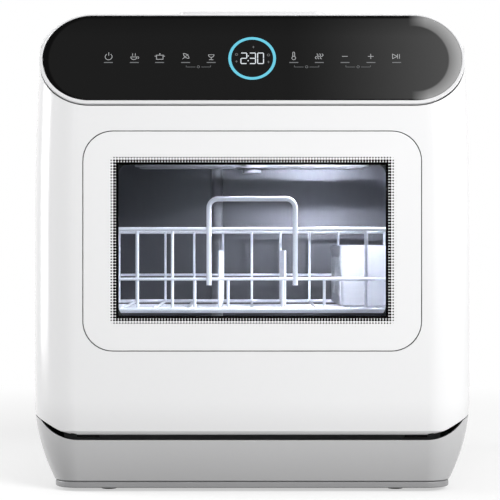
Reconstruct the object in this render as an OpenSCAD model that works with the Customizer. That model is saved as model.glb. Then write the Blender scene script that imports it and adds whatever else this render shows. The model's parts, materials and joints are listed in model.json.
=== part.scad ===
// Countertop dishwasher with a drop-down window door, a sliding dish rack and its own water tank.
// Z is up, the door faces -Y, and the origin is on the table under the middle of the machine.

/* [Cabinet] */
// Width across the cabinet and door
body_w = 418; // [380:1:480]
// Depth from the door face to the rear wall
body_d = 425; // [400:1:500]
// Height of the flat top above the table
body_h = 456.7; // [440:0.1:500]
// Plan radius of the two front corners
front_r = 44; // [40:1:48]
// Plan radius of the two rear corners
rear_r = 26; // [25:1:32]
// Wall of the moulded shells
shell_t = 3; // [2:0.5:3.5]
// How far the sides lean in beside the control panel
side_lean = 4.5; // [2:0.5:6]
// Height of the seam between base and cabinet
seam_z = 79; // [76:1:84]
// Thickness of the rear wall plate
back_t = 1.5; // [1:0.5:3]
// How far the rear fittings stand out behind the rear wall
fitting_out = 10; // [8:1:14]

/* [Base] */
// Height of the rubber feet below the plinth
foot_h = 3.4; // [2:0.2:6]
// Diameter of a foot
foot_d = 15; // [12:1:20]
// Distance between the left and right feet
foot_pitch = 275.8; // [240:0.2:300]
// Height of the plinth ring
plinth_h = 7; // [6:0.5:10]
// How far the base tucks in from the sides at the plinth
base_tuck = 19; // [16:0.5:20]
// Slot between the door and the front of the base
door_gap = 5.3; // [4:0.1:8]

/* [Control panel] */
// Height of the sloping face, measured along the slope
panel_h = 98.8; // [90:0.1:104]
// Lean of the sloping face from the vertical
panel_tilt = 24; // [18:1:28]
// Width of the panel trim
trim_w = 404.4; // [370:0.2:410]
// Width of the trim band around the glass
trim_band = 3; // [2:0.5:5]
// Depth of the trim and the glass in the housing
trim_t = 2.5; // [2:0.5:4]
// Outer diameter of the light ring
ring_d = 45.6; // [40:0.2:56]
// Width of the light ring
ring_band = 3.3; // [2:0.1:5]

/* [Door] */
// Height of the lower edge of the door
door_low_z = 55.7; // [52:0.1:60]
// Radius of the lower door corners, seen from the front
door_corner_r = 48; // [40:1:56]
// Thickness of the outer door shell
door_shell_d = 27.5; // [24:0.5:32]
// Thickness of the inner door pan
door_pan_d = 22.5; // [20:0.5:26]
// Height of the hinge axis
hinge_z = 74; // [70:1:78]
// Distance from the door face to the hinge axis
hinge_in = 14; // [12:0.5:16]
// Diameter of the hinge pins
hinge_pin_d = 8; // [6:0.5:10]
// Half the distance between the hinge brackets
hinge_x = 166; // [150:1:167]
// Gap between the door and the control housing
door_top_gap = 1.6; // [1.2:0.1:2.5]

/* [Door window] */
// Width of the flush glass panel
glass_w = 318; // [280:1:322]
// Height of the flush glass panel
glass_h = 206.6; // [180:0.2:210]
// Height of its lower edge
glass_low_z = 134.6; // [120:0.2:140]
// Corner radius of the glass panel
glass_r = 28; // [20:1:34]
// Thickness of the glass panel
glass_t = 4; // [3:0.5:5]
// Width of the window behind the printed border
window_w = 266; // [220:1:270]
// Height of the window behind the printed border
window_h = 153.5; // [130:0.5:158]
// Height of the lower edge of the window
window_low_z = 161.8; // [155:0.2:170]

/* [Wash tub] */
// Space between the cabinet side and the tub
tub_side_gap = 35; // [32:1:50]
// Height of the tub floor
tub_floor_z = 108; // [104:1:112]
// Space from the lower panel edge down to the tub roof
tub_roof_drop = 24; // [22:1:40]
// Space behind the tub
tub_rear_gap = 36; // [34:1:50]
// Sheet thickness of the tub
tub_t = 2; // [1.5:0.5:3]
// Width of the rubber seal around the opening
seal_w = 8; // [6:0.5:9]
// Diameter of the lower spray arm
lower_arm_d = 296; // [240:2:300]
// Diameter of the upper spray arm
upper_arm_d = 250; // [200:2:280]
// Diameter of the spray arm shafts
arm_shaft_d = 12; // [10:1:16]

/* [Dish rack] */
// Height of the rack floor wires
rack_floor_z = 171; // [168:1:176]
// Height of the middle rail above the rack floor
rack_mid_h = 30; // [24:1:36]
// Height of the top rail above the rack floor
rack_top_h = 79; // [60:1:90]
// Diameter of the thin wires
wire_d = 3; // [2.5:0.1:3.5]
// Diameter of the top rail wire
rail_wire_d = 3.8; // [3.2:0.1:4.5]
// Diameter of the handle wire
handle_wire_d = 5; // [4:0.2:6]
// Height of the handle above the rack floor
handle_h = 111; // [90:1:118]
// Width of the handle
handle_w = 89.4; // [70:0.2:110]
// Diameter of the rack rollers
roller_d = 22; // [18:1:23]
// Diameter of the roller axles
axle_d = 6; // [4:0.5:7]

/* [Water tank] */
// Height of the tank
tank_h = 66; // [50:1:72]
// Width of the filler lid on top
fill_lid_w = 142; // [110:1:160]
// Depth of the filler lid
fill_lid_d = 70; // [60:1:74]
// Height of the filler lid above the top
fill_lid_h = 4.7; // [4.4:0.1:6]

/* [Hidden] */
$fn = 64;

fit = 0.3;
running = 0.05;
eps = 0.01;
far = 700;

half_w = body_w / 2;
front_y = -(body_d + fitting_out) / 2;
rear_y = front_y + body_d;
mid_y = (front_y + rear_y) / 2;
half_d = body_d / 2;
panel_rise = panel_h * cos(panel_tilt);
panel_low_z = body_h - panel_rise;
panel_mid_z = body_h - panel_rise / 2;
door_back_y = front_y + door_shell_d + door_pan_d;
cabinet_y = door_back_y + 1.5;
frame_y = door_back_y + 7.5;
frame_t = 3;
hinge_y = front_y + hinge_in;
base_z = foot_h + plinth_h;

// Front outline of the whole body: sides that lean in slightly, then an elliptical top corner.
lean_z = 250;
crown_a = 51.5;
crown_h = 45;
crown_z = body_h - crown_h;
lean_steps = 6;
crown_steps = 10;
function side_x(z) = half_w - side_lean * pow(max(0, z - lean_z) / (crown_z - lean_z), 2);
function right_edge(inset) = concat(
  [[half_w - inset, -1]],
  [for (k = [0 : lean_steps])
    let (z = lean_z + (crown_z - lean_z) * k / lean_steps) [side_x(z) - inset, z]],
  [for (k = [1 : crown_steps])
    let (a = 90 * k / crown_steps)
    [side_x(crown_z) - crown_a + (crown_a - inset) * cos(a), crown_z + (crown_h - inset) * sin(a)]]
);
function mirrored(points) = [for (k = [len(points) - 1 : -1 : 0]) [-points[k][0], points[k][1]]];

// Extrudes a front view (x, z) through the whole depth.
module through_y() {
  translate([0, mid_y, 0]) rotate([90, 0, 0]) linear_extrude(height = far, center = true) children();
}

// Extrudes a side view (y, z) through a width.
module through_x(width = far) {
  rotate([90, 0, 90]) linear_extrude(height = width, center = true) children();
}

// A layer between two depths.
module slab_y(y0, y1) {
  translate([-far / 2, y0, -eps]) cube([far, y1 - y0, far]);
}

module plan_2d(inset) {
  front_in = front_r - inset;
  rear_in = rear_r - inset;
  translate([-half_w + inset, front_y + front_r]) square([body_w - 2 * inset, body_d - front_r - rear_r]);
  translate([-half_w + front_r, front_y + inset]) square([body_w - 2 * front_r, front_in + eps]);
  translate([-half_w + rear_r, rear_y - rear_r - eps]) square([body_w - 2 * rear_r, rear_in + eps]);
  for (side = [-1, 1]) {
    translate([side * (half_w - front_r), front_y + front_r]) circle(r = front_in);
    translate([side * (half_w - rear_r), rear_y - rear_r]) circle(r = rear_in);
  }
}

function side_profile(inset) = let (
    slope_in = inset / cos(panel_tilt),
    knee_z = panel_low_z - (slope_in - inset) / tan(panel_tilt),
    top_front = front_y + (body_h - inset - panel_low_z) * tan(panel_tilt) + slope_in
  ) [[front_y + inset, -1], [front_y + inset, knee_z], [top_front, body_h - inset],
     [rear_y - inset, body_h - inset], [rear_y - inset, -1]];

// The outer form that cabinet, control housing and door are cut from.
module body_form(inset = 0) {
  intersection() {
    linear_extrude(height = far) plan_2d(inset);
    through_y() polygon(concat(right_edge(inset), mirrored(right_edge(inset))));
    through_x() polygon(side_profile(inset));
  }
}

// Upright panel with rounded corners, standing between y0 and y1.
module upright(w, h, r, z0, y0, y1) {
  translate([0, y1, z0 + h / 2]) rotate([90, 0, 0]) linear_extrude(height = y1 - y0) rounded_2d(w, h, r);
}

module rounded_2d(w, h, r) {
  square([w - 2 * r, h], center = true);
  square([w, h - 2 * r], center = true);
  for (sx = [-1, 1], sy = [-1, 1]) translate([sx * (w / 2 - r), sy * (h / 2 - r)]) circle(r = r);
}

// Lying box with rounded upright edges, centred on x and y.
module block(w, d, h, r) {
  linear_extrude(height = h) rounded_2d(w, d, r);
}

module rod(p, q, d) {
  v = q - p;
  length = norm(v);
  translate(p) rotate([0, acos(v[2] / length), atan2(v[1], v[0])]) cylinder(d = d, h = length);
}

module rod_x(x0, x1, y, z, d) { translate([x0, y, z]) rotate([0, 90, 0]) cylinder(d = d, h = x1 - x0); }
module rod_y(x, y0, y1, z, d) { translate([x, y1, z]) rotate([90, 0, 0]) cylinder(d = d, h = y1 - y0); }
module rod_z(x, y, z0, z1, d) { translate([x, y, z0]) cylinder(d = d, h = z1 - z0); }

// Control panel outline seen from the front: a lying pill with elliptical ends.
pill_steps = 16;
function pill(grow) = let (end_a = panel_h / 2, straight = trim_w / 2 - end_a) concat(
  [for (k = [0 : pill_steps]) let (a = -90 + 180 * k / pill_steps)
    [straight + (end_a + grow) * cos(a), panel_mid_z + (panel_rise / 2 + grow) * sin(a)]],
  [for (k = [0 : pill_steps]) let (a = 90 + 180 * k / pill_steps)
    [-straight + (end_a + grow) * cos(a), panel_mid_z + (panel_rise / 2 + grow) * sin(a)]]
);

module panel_region(grow) {
  through_y() {
    polygon(pill(grow));
    translate([-far / 2, panel_mid_z - grow]) square([far, far]);
  }
}

// Local frame of the sloping face: x across, y up the slope, z out of the machine.
module on_panel() {
  translate([0, front_y + panel_rise / 2 * tan(panel_tilt), panel_mid_z])
    rotate([90 - panel_tilt, 0, 0]) children();
}

module stadium(w, h, depth) {
  linear_extrude(height = depth) {
    square([w - h, h], center = true);
    for (side = [-1, 1]) translate([side * (w - h) / 2, 0]) circle(d = h);
  }
}

// Lower edge of the door, seen from the front, from the left side to the right side.
corner_steps = 10;
function low_curve(drop, cap) = let (
    centre_z = door_low_z + door_corner_r,
    end_a = asin((cap + drop - centre_z) / door_corner_r),
    right = concat([for (k = [0 : corner_steps]) let (a = -90 + (end_a + 90) * k / corner_steps)
      [half_w - door_corner_r + door_corner_r * cos(a), centre_z - drop + door_corner_r * sin(a)]],
      [[far / 2, cap]])
  ) concat(mirrored(right), right);

module above_low_curve(drop, cap) {
  through_y() polygon(concat([[-far / 2, far]], low_curve(drop, cap), [[far / 2, far]]));
}

// Cabinet and base

port_w = fill_lid_w - 14;
port_d = 48;
port_r = 12;
service_lap = 6;
service_r = 8;
lid_hinge_y = frame_y + fill_lid_d;
lid_front_y = lid_hinge_y + 2.2 - fill_lid_d;
port_y = lid_front_y + 6 + port_d / 2;
lid_pin_d = 3;
lid_gap = 0.3;
lid_pin_z = body_h + fill_lid_h / 2 + lid_gap / 2;
lid_ear_x = 48;
lid_ear_w = 6;
back_w = body_w - 2 * rear_r - 4;
back_low_z = seam_z + 4;
back_high_z = body_h - 30;
duct_z = 360;

module cabinet_shell() {
  color("white") {
    difference() {
      intersection() {
        body_form();
        translate([-far / 2, cabinet_y, seam_z + eps]) cube(far);
      }
      intersection() {
        body_form(shell_t);
        slab_y(cabinet_y - 1, rear_y);
      }
      translate([0, port_y, body_h - 2 * shell_t]) block(port_w, port_d, 4 * shell_t, port_r);
      upright(back_w - 2 * service_lap, back_high_z - back_low_z - 2 * service_lap, service_r,
        back_low_z + service_lap, rear_y - 2 * shell_t, rear_y + 1);
    }
    for (side = [-1, 1]) difference() {
      translate([side * lid_ear_x - lid_ear_w / 2, lid_hinge_y - 3, body_h - 1]) {
        cube([lid_ear_w, 6, 1 + fill_lid_h]);
      }
      rod_x(side * lid_ear_x - lid_ear_w, side * lid_ear_x + lid_ear_w, lid_hinge_y, lid_pin_z,
        lid_pin_d + 2 * running);
    }
  }
}

// Rear fittings pass the lower rear wall of the base tray.
inlet_x = 130;
drain_x = 60;
gland_x = -130;
fitting_z = 56;
fitting_boss_d = 40;
inlet_d = 26.4;
drain_d = 19;
gland_d = 18;
fitting_in = 14;

module back_panel() {
  color("lightgray") difference() {
    upright(back_w, back_high_z - back_low_z, 10, back_low_z, rear_y, rear_y + back_t);
    for (k = [-3 : 3]) {
      translate([k * 14, rear_y - 1, duct_z + 12]) rotate([-90, 0, 0]) {
        linear_extrude(height = 2 + back_t) rounded_2d(7, 18, 3);
      }
    }
    back_screw_places() cylinder(d = screw_d, h = 8, center = true);
  }
}

screw_d = 3.5;
module back_screw_places() {
  for (sx = [-1, 1], z = [back_low_z + 3, (back_low_z + back_high_z) / 2, back_high_z - 3]) {
    translate([sx * (back_w / 2 - (z == (back_low_z + back_high_z) / 2 ? 3 : 14)), rear_y, z])
      rotate([-90, 0, 0]) children();
  }
}

module back_screws() {
  color("silver") back_screw_places() {
    translate([0, 0, back_t]) cylinder(d = 2 * screw_d, h = 1.6);
    cylinder(d = screw_d, h = back_t + eps);
  }
}

tuck_steps = 8;
function hundredths(v) = round(v * 100) / 100;
function wall_z(k) = hundredths(base_z + (seam_z - base_z) * k / tuck_steps);
function tuck(k) = hundredths(base_tuck * pow((tuck_steps - k) / tuck_steps, 2));
function base_wall(reach) = concat(
  [for (k = [0 : tuck_steps]) [reach - tuck(k), wall_z(k)]],
  [for (k = [tuck_steps : -1 : 0]) [reach - tuck(k) - shell_t, wall_z(k)]]
);

module base_corner(r, x, y, turn) {
  translate([x, y, 0]) rotate([0, 0, turn]) rotate_extrude(angle = 90) polygon(base_wall(r));
}

module base_ring() {
  side_run = body_d - front_r - rear_r;
  for (flip = [0, 1]) mirror([flip, 0, 0]) {
    translate([0, rear_y - rear_r, 0]) rotate([90, 0, 0]) {
      linear_extrude(height = side_run) polygon(base_wall(half_w));
    }
    base_corner(front_r, half_w - front_r, front_y + front_r, -90);
    base_corner(rear_r, half_w - rear_r, rear_y - rear_r, 0);
  }
  translate([0, mid_y, 0]) {
    through_x(body_w - 2 * rear_r) polygon(base_wall(half_d));
    mirror([0, 1, 0]) through_x(body_w - 2 * front_r) polygon(base_wall(half_d));
  }
}

module base_tray() {
  color("gainsboro") difference() {
    union() {
      base_ring();
      translate([0, 0, base_z]) linear_extrude(height = shell_t) plan_2d(base_tuck + 1);
      pump_mounts();
      for (x = [inlet_x, drain_x, gland_x]) rod_y(x, rear_y - fitting_in, rear_y, fitting_z, fitting_boss_d);
    }
    intersection() {
      above_low_curve(door_gap, seam_z);
      slab_y(front_y - 1, cabinet_y);
    }
    rod_y(inlet_x, rear_y - 16, rear_y + 1, fitting_z, inlet_d - 1);
    rod_y(drain_x, rear_y - 16, rear_y + 1, fitting_z, drain_d);
    rod_y(gland_x, rear_y - 16, rear_y + 1, fitting_z, gland_d);
  }
}

plinth_in = base_tuck + 1;
plinth_t = 4;
module plinth() {
  color("silver") translate([0, 0, foot_h]) linear_extrude(height = plinth_h) difference() {
    plan_2d(plinth_in);
    plan_2d(plinth_in + plinth_t);
  }
}

foot_y = 45;
module rubber_feet() {
  color("black") for (side = [-1, 1], y = [front_y + foot_y, rear_y - foot_y]) {
    rod_z(side * foot_pitch / 2, y, 0, base_z, foot_d);
  }
}

// Front frame: the plate that joins base, tub and cabinet round the opening.
tub_w = body_w - 2 * tub_side_gap;
tub_roof_z = panel_low_z - tub_roof_drop;
tub_front_y = frame_y + frame_t;
tub_back_y = rear_y - tub_rear_gap;
tub_h = tub_roof_z - tub_floor_z;
tub_r = 20;
catch_w = 16;
catch_low_z = tub_roof_z + seal_w + 4;
catch_h = 4.5;
slot_clear = 4.5;
frame_out = shell_t + fit;

module front_frame() {
  color("whitesmoke") difference() {
    intersection() {
      body_form(frame_out);
      slab_y(frame_y, frame_y + frame_t);
      union() {
        translate([-half_w, front_y, seam_z + fit]) cube(far);
        apron_w = body_w - 2 * (base_tuck + shell_t + 4);
        translate([-apron_w / 2, front_y, base_z + shell_t]) cube([apron_w, far, far]);
      }
    }
    upright(tub_w, tub_h, tub_r, tub_floor_z, frame_y - 1, frame_y + frame_t + 1);
    translate([-catch_w / 2 - 3, frame_y - 1, catch_low_z - 1.5]) {
      cube([catch_w + 6, frame_t + 2, catch_h + slot_clear]);
    }
  }
  color("dimgray") latch_box();
}

latch_t = 2;
latch_in = 12;
module latch_box() {
  w = catch_w + 12;
  h = catch_h + slot_clear + 8;
  difference() {
    translate([-w / 2, frame_y + frame_t - eps, catch_low_z - 5]) cube([w, latch_in + latch_t, h]);
    translate([-w / 2 + latch_t, frame_y, catch_low_z - 3]) {
      cube([w - 2 * latch_t, frame_t + latch_in, h - 2 * latch_t]);
    }
  }
}

// Control panel

glass_gap = 0.4;
panel_glass_w = trim_w - 2 * trim_band;
panel_glass_h = panel_h - 2 * trim_band;
pocket_t = 12;

module control_housing() {
  color("white") difference() {
    intersection() {
      body_form();
      panel_region(0);
      slab_y(front_y, cabinet_y - fit);
    }
    intersection() {
      body_form(shell_t + trim_t);
      panel_region(-shell_t);
      slab_y(front_y, cabinet_y);
    }
    on_panel() translate([-far / 2, -far / 2, -trim_t]) cube(far);
    on_panel() translate([0, 0, -pocket_t]) stadium(panel_glass_w - 8, panel_glass_h - 14, pocket_t);
  }
}

module control_trim() {
  color("silver") intersection() {
    body_form();
    on_panel() translate([0, 0, -trim_t + eps]) difference() {
      stadium(trim_w, panel_h - 0.6, trim_t - eps);
      translate([0, 0, -1]) stadium(panel_glass_w + glass_gap, panel_glass_h + glass_gap, trim_t + 2);
    }
  }
}

module control_glass() {
  color("black") on_panel() translate([0, 0, -trim_t + eps]) stadium(panel_glass_w, panel_glass_h, trim_t);
}

ring_t = 3;
module light_ring() {
  color("cyan") on_panel() translate([0, 0, -trim_t - ring_t]) difference() {
    cylinder(d = ring_d, h = ring_t);
    translate([0, 0, -1]) cylinder(d = ring_d - 2 * ring_band, h = ring_t + 2);
  }
}

display_w = 30;
display_h = 18;
module display_module() {
  color("dimgray") on_panel() translate([-display_w / 2, -display_h / 2, -trim_t - ring_t]) {
    cube([display_w, display_h, ring_t]);
  }
}

board_w = 340;
board_h = 46;
board_t = 1.6;
key_pitch = 24;
key_count = 5;
module control_board() {
  color("green") on_panel() {
    translate([-board_w / 2, -board_h / 2, -trim_t - ring_t - board_t]) cube([board_w, board_h, board_t]);
    for (side = [-1, 1], k = [1 : key_count]) {
      translate([side * (k * key_pitch + 15), 0, -trim_t - ring_t - eps]) cylinder(d = 9, h = ring_t);
    }
  }
}

// Filling the tank

lid_r = 10;
module fill_lid() {
  color("gainsboro") difference() {
    union() {
      translate([0, (lid_front_y + lid_hinge_y) / 2, body_h + lid_gap]) {
        block(fill_lid_w, lid_hinge_y - lid_front_y, fill_lid_h - lid_gap, lid_r);
      }
      translate([-fill_lid_w / 2, lid_hinge_y - lid_r, body_h + lid_gap]) {
        cube([fill_lid_w, lid_r, fill_lid_h - lid_gap]);
      }
      rod_x(-fill_lid_w / 2, fill_lid_w / 2, lid_hinge_y, lid_pin_z, fill_lid_h - lid_gap);
    }
    rod_x(-far, far, lid_hinge_y, lid_pin_z, lid_pin_d);
    for (side = [-1, 1]) translate([side * lid_ear_x - lid_ear_w / 2 - fit, lid_hinge_y - 6.5, body_h]) {
      cube([lid_ear_w + 2 * fit, 12, 2 * fill_lid_h]);
    }
  }
}

module fill_lid_pin() {
  color("silver") rod_x(-fill_lid_w / 2 + 6, fill_lid_w / 2 - 6, lid_hinge_y, lid_pin_z, lid_pin_d);
}

fan_d = 80;
fan_h = 26;
fan_in_d = 40;
fan_y = tub_back_y - fan_d / 2 - 3;
funnel_t = 2;
funnel_floor_z = body_h - 30;
neck_d = 36;
tank_z = tub_roof_z + tub_t + 8;
tank_top_z = tank_z + tank_h;
tank_front_y = frame_y + frame_t + 20;
tank_w = body_w - 58;
tank_l = fan_y - fan_d / 2 - 3 - tank_front_y;
tank_y = tank_front_y + tank_l / 2;
tank_t = 2.5;
neck_y = tank_front_y + neck_d / 2 + 8;

module fill_funnel() {
  color("lightgray") difference() {
    union() {
      translate([0, port_y, funnel_floor_z]) {
        block(port_w + 6, port_d + 6, body_h - shell_t - fit - funnel_floor_z, 14);
      }
      rod_z(0, neck_y, tank_top_z - 12, funnel_floor_z + funnel_t, neck_d);
    }
    translate([0, port_y, funnel_floor_z + funnel_t]) block(port_w, port_d, 2 * neck_d, port_r);
    rod_z(0, neck_y, tank_top_z - 20, body_h, neck_d - 2 * funnel_t);
  }
}

tank_foot_d = 16;
tank_out_x = tank_w / 2 - 20;
tank_hose_d = 14;
module water_tank() {
  color("lightblue") {
    difference() {
      translate([0, tank_y, tank_z]) block(tank_w, tank_l, tank_h, 20);
      translate([0, tank_y, tank_z + tank_t]) {
        block(tank_w - 2 * tank_t, tank_l - 2 * tank_t, tank_h - 2 * tank_t, 20 - tank_t);
      }
      rod_z(0, neck_y, tank_top_z - 10, tank_top_z + 1, neck_d + 2 * fit);
      rod_y(tank_out_x, tank_y, tank_y + tank_l, tank_z + 12, tank_hose_d + 2 * fit);
    }
    for (sx = [-1, 1], sy = [-1, 1]) {
      x = sx * (tub_w / 2 - 40);
      y = tank_y + sy * (tank_l / 2 - 30);
      rod_z(x, y, tub_roof_z + tub_t, tank_z + eps, tank_foot_d);
    }
  }
}

// Wash tub and hydraulics

hub_y = (tub_front_y + tub_back_y) / 2;
sump_y = hub_y + 78;
sump_d = 100;
cup_d = 60;
sump_low_z = 58;
flange_w = 5;
lamp_x = 80;
lamp_y = tub_front_y + 45;
lamp_d = 26;
feed_x = -40;
feed_d = 14;

module inner_tub() {
  color("silver") difference() {
    union() {
      upright(tub_w + 2 * tub_t, tub_h + 2 * tub_t, tub_r + tub_t, tub_floor_z - tub_t, tub_front_y,
        tub_back_y + tub_t);
      upright(tub_w + 2 * flange_w, tub_h + 2 * flange_w, tub_r + flange_w, tub_floor_z - flange_w,
        tub_front_y, tub_front_y + tub_t);
    }
    upright(tub_w, tub_h, tub_r, tub_floor_z, tub_front_y - 1, tub_back_y);
    rod_z(0, sump_y, tub_floor_z - 5, tub_floor_z + 5, sump_d - 2 * shell_t);
    rod_z(0, hub_y, tub_floor_z - 5, tub_floor_z + 5, arm_shaft_d + 8);
    rod_z(feed_x, tub_back_y - 10, tub_floor_z - 5, tub_floor_z + 5, feed_d);
    rod_z(0, fan_y, tub_roof_z - 5, tub_roof_z + 5, fan_in_d);
    rod_z(lamp_x, lamp_y, tub_roof_z - 5, tub_roof_z + 5, lamp_d);
    rod_z(0, hub_y, tub_roof_z - 5, tub_roof_z + 5, arm_shaft_d - 4);
  }
}

module door_seal() {
  seal_in = 2;
  grow = seal_in + seal_w;
  color("dimgray") difference() {
    upright(tub_w + 2 * grow, tub_h + 2 * grow, tub_r + grow, tub_floor_z - grow,
      door_back_y + fit, frame_y);
    upright(tub_w + 2 * seal_in, tub_h + 2 * seal_in, tub_r + seal_in, tub_floor_z - seal_in,
      door_back_y - 1, frame_y + 1);
    upright(tub_w + seal_w + 2 * seal_in, tub_h + seal_w + 2 * seal_in, tub_r + seal_in + seal_w / 2,
      tub_floor_z - seal_in - seal_w / 2, door_back_y - 1, door_back_y + 3);
  }
  color("dimgray") difference() {
    lip = seal_in + seal_w / 2 - 1;
    upright(tub_w + 2 * lip + 2, tub_h + 2 * lip + 2, tub_r + lip + 1, tub_floor_z - lip - 1,
      door_back_y + fit, door_back_y + 4);
    upright(tub_w + 2 * lip, tub_h + 2 * lip, tub_r + lip, tub_floor_z - lip, door_back_y, door_back_y + 5);
  }
}

duct_d = 16;
pump_x = -92;
pump_z = 58;
pump_d = 76;
pump_t = 3;
pump_w = 26;
motor_d = 56;
motor_l = 56;
drain_pump_x = 84;
drain_pump_d = 46;
drain_pump_w = 20;
drain_motor_d = 38;
drain_motor_l = 40;
drain_pump_z = 50;
pipe_d = 20;

module sump() {
  color("gray") difference() {
    union() {
      rod_z(0, sump_y, sump_low_z, tub_floor_z - tub_t, sump_d);
      rod_x(pump_x + pump_w / 2 + fit, 0, sump_y, pump_z + 14, pipe_d + 6);
      rod_x(0, drain_pump_x - drain_pump_w / 2 - fit, sump_y, sump_low_z + 14, pipe_d);
      rod_z(0, hub_y, tub_floor_z - tub_t - 24, tub_floor_z - tub_t, arm_shaft_d + 16);
      rod_y(0, hub_y, sump_y, tub_floor_z - tub_t - 14, duct_d);
    }
    rod_z(0, sump_y, sump_low_z + pump_t, tub_floor_z, sump_d - 2 * pump_t);
    rod_x(pump_x, 0, sump_y, pump_z + 14, pipe_d);
    rod_x(0, drain_pump_x, sump_y, sump_low_z + 14, pipe_d - 6);
    rod_z(0, hub_y, tub_floor_z - tub_t - 20, tub_floor_z + 1, arm_shaft_d);
  }
}

module filter_plate() {
  color("silver") difference() {
    rod_z(0, sump_y, tub_floor_z, tub_floor_z + 1.5, sump_d + 16);
    rod_z(0, sump_y, tub_floor_z - 1, tub_floor_z + 3, cup_d + 2 * fit);
  }
}

cup_low_z = sump_low_z + 12;
cup_top_z = tub_floor_z + 5;
cup_t = 2;
module filter_cup() {
  color("silver") {
    difference() {
      union() {
        rod_z(0, sump_y, cup_low_z, cup_top_z, cup_d);
        rod_z(0, sump_y, tub_floor_z + 1.5 + fit, cup_top_z, cup_d + 8);
      }
      rod_z(0, sump_y, cup_low_z + cup_t, cup_top_z + 1, cup_d - 2 * cup_t);
    }
    translate([-cup_d / 2 + 1, sump_y - 2, cup_top_z - 4]) cube([cup_d - 2, 4, 7]);
  }
}

arm_low_z = tub_floor_z + 16;
arm_t = 11;
arm_w = 34;
hub_head = 5;
module lower_arm_hub() {
  color("gray") {
    rod_z(0, hub_y, tub_floor_z - tub_t - 18, arm_low_z + arm_t + hub_head, arm_shaft_d);
    rod_z(0, hub_y, tub_floor_z, arm_low_z - 1, arm_shaft_d + 14);
    rod_z(0, hub_y, arm_low_z + arm_t + 1, arm_low_z + arm_t + hub_head, arm_shaft_d + 8);
  }
}

nozzle_d = 4;
nozzle_deep = 3;
nozzle_off = 5;
nozzle_count = 6;
module spray_arm(z, span, jet_up) {
  blade = span / 2 - arm_w / 2;
  difference() {
    union() {
      rod_z(0, hub_y, z, z + arm_t, arm_w + 8);
      for (turn = [0, 180]) translate([0, hub_y, z]) rotate([0, 0, turn]) {
        translate([0, -arm_w / 2, 2]) cube([blade, arm_w, arm_t - 4]);
        translate([0, -arm_w / 2 + 5, 0]) cube([blade, arm_w - 10, arm_t]);
        translate([blade, 0, 2]) cylinder(d = arm_w, h = arm_t - 4);
        translate([blade, 0, 0]) cylinder(d = arm_w - 10, h = arm_t);
      }
    }
    rod_z(0, hub_y, z - 1, z + arm_t + 1, arm_shaft_d + 2 * running);
    for (side = [-1, 1], k = [1 : nozzle_count]) {
      x = side * (24 + k * (blade - 24) / nozzle_count);
      y = hub_y + (k % 2 == 0 ? nozzle_off : -nozzle_off);
      jet_z = jet_up ? z + arm_t - nozzle_deep : z - 1;
      rod_z(x, y, jet_z, jet_z + nozzle_deep + 1, nozzle_d);
    }
  }
}

module lower_spray_arm() { color("lightgray") spray_arm(arm_low_z, lower_arm_d, true); }

upper_arm_z = tub_roof_z - 26;
module upper_arm_hub() {
  color("gray") {
    rod_z(0, hub_y, upper_arm_z - hub_head, tub_roof_z, arm_shaft_d);
    rod_z(0, hub_y, upper_arm_z + arm_t + 1, tub_roof_z, arm_shaft_d + 14);
    rod_z(0, hub_y, upper_arm_z - hub_head, upper_arm_z - 1, arm_shaft_d + 8);
  }
}

module upper_spray_arm() { color("lightgray") spray_arm(upper_arm_z, upper_arm_d, false); }

feed_top_z = tub_roof_z - 9;
elbow_grow = 2;
module feed_pipe() {
  y = tub_back_y - 10;
  hub_edge = (arm_shaft_d + 14) / 2;
  color("gray") {
    rod_z(feed_x, y, pump_z + 30, feed_top_z, feed_d - 1);
    translate([feed_x, y, feed_top_z]) sphere(d = feed_d + elbow_grow);
    difference() {
      rod([feed_x, y, feed_top_z], [0, hub_y, feed_top_z], feed_d - 2);
      rod_z(0, hub_y, 0, far, 2 * hub_edge + 2 * fit);
    }
  }
}

module circulation_pump() {
  color("dimgray") difference() {
    union() {
      rod_x(pump_x - pump_w / 2, pump_x + pump_w / 2, sump_y, pump_z, pump_d);
      rod_x(pump_x - pump_w / 2 - motor_l, pump_x - pump_w / 2, sump_y, pump_z, motor_d);
      rod_y(pump_x, sump_y - pump_d / 2 - 14, sump_y, pump_z + pump_d / 2 - pipe_d / 2, pipe_d);
    }
    rod_x(pump_x - pump_w / 2 + pump_t, pump_x + pump_w / 2 - pump_t, sump_y, pump_z, pump_d - 2 * pump_t);
    rod_x(pump_x, pump_x + pump_w, sump_y, pump_z + 14, pipe_d);
    rod_x(pump_x - pump_w / 2 - 20, pump_x, sump_y, pump_z, impeller_shaft_d + 2 * running);
    rod_y(pump_x, sump_y - pump_d, sump_y, pump_z + pump_d / 2 - pipe_d / 2, pipe_d - 2 * pump_t);
  }
}

impeller_shaft_d = 6;
module impeller(x, y, z, d, w, vanes) {
  rod_x(x - w / 2, x - w / 2 + 2, y, z, d);
  rod_x(x - w / 2 - 16, x + w / 2, y, z, impeller_shaft_d);
  for (k = [0 : vanes - 1]) translate([x - w / 2 + 1, y, z]) rotate([k * 360 / vanes, 0, 0]) {
    translate([0, 0, 1]) cube([w - 1, 2, d / 2 - 2]);
  }
}

module circulation_impeller() {
  color("white") impeller(pump_x, sump_y, pump_z, pump_d - 2 * pump_t - 8, pump_w - 2 * pump_t - 4, 6);
}

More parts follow.
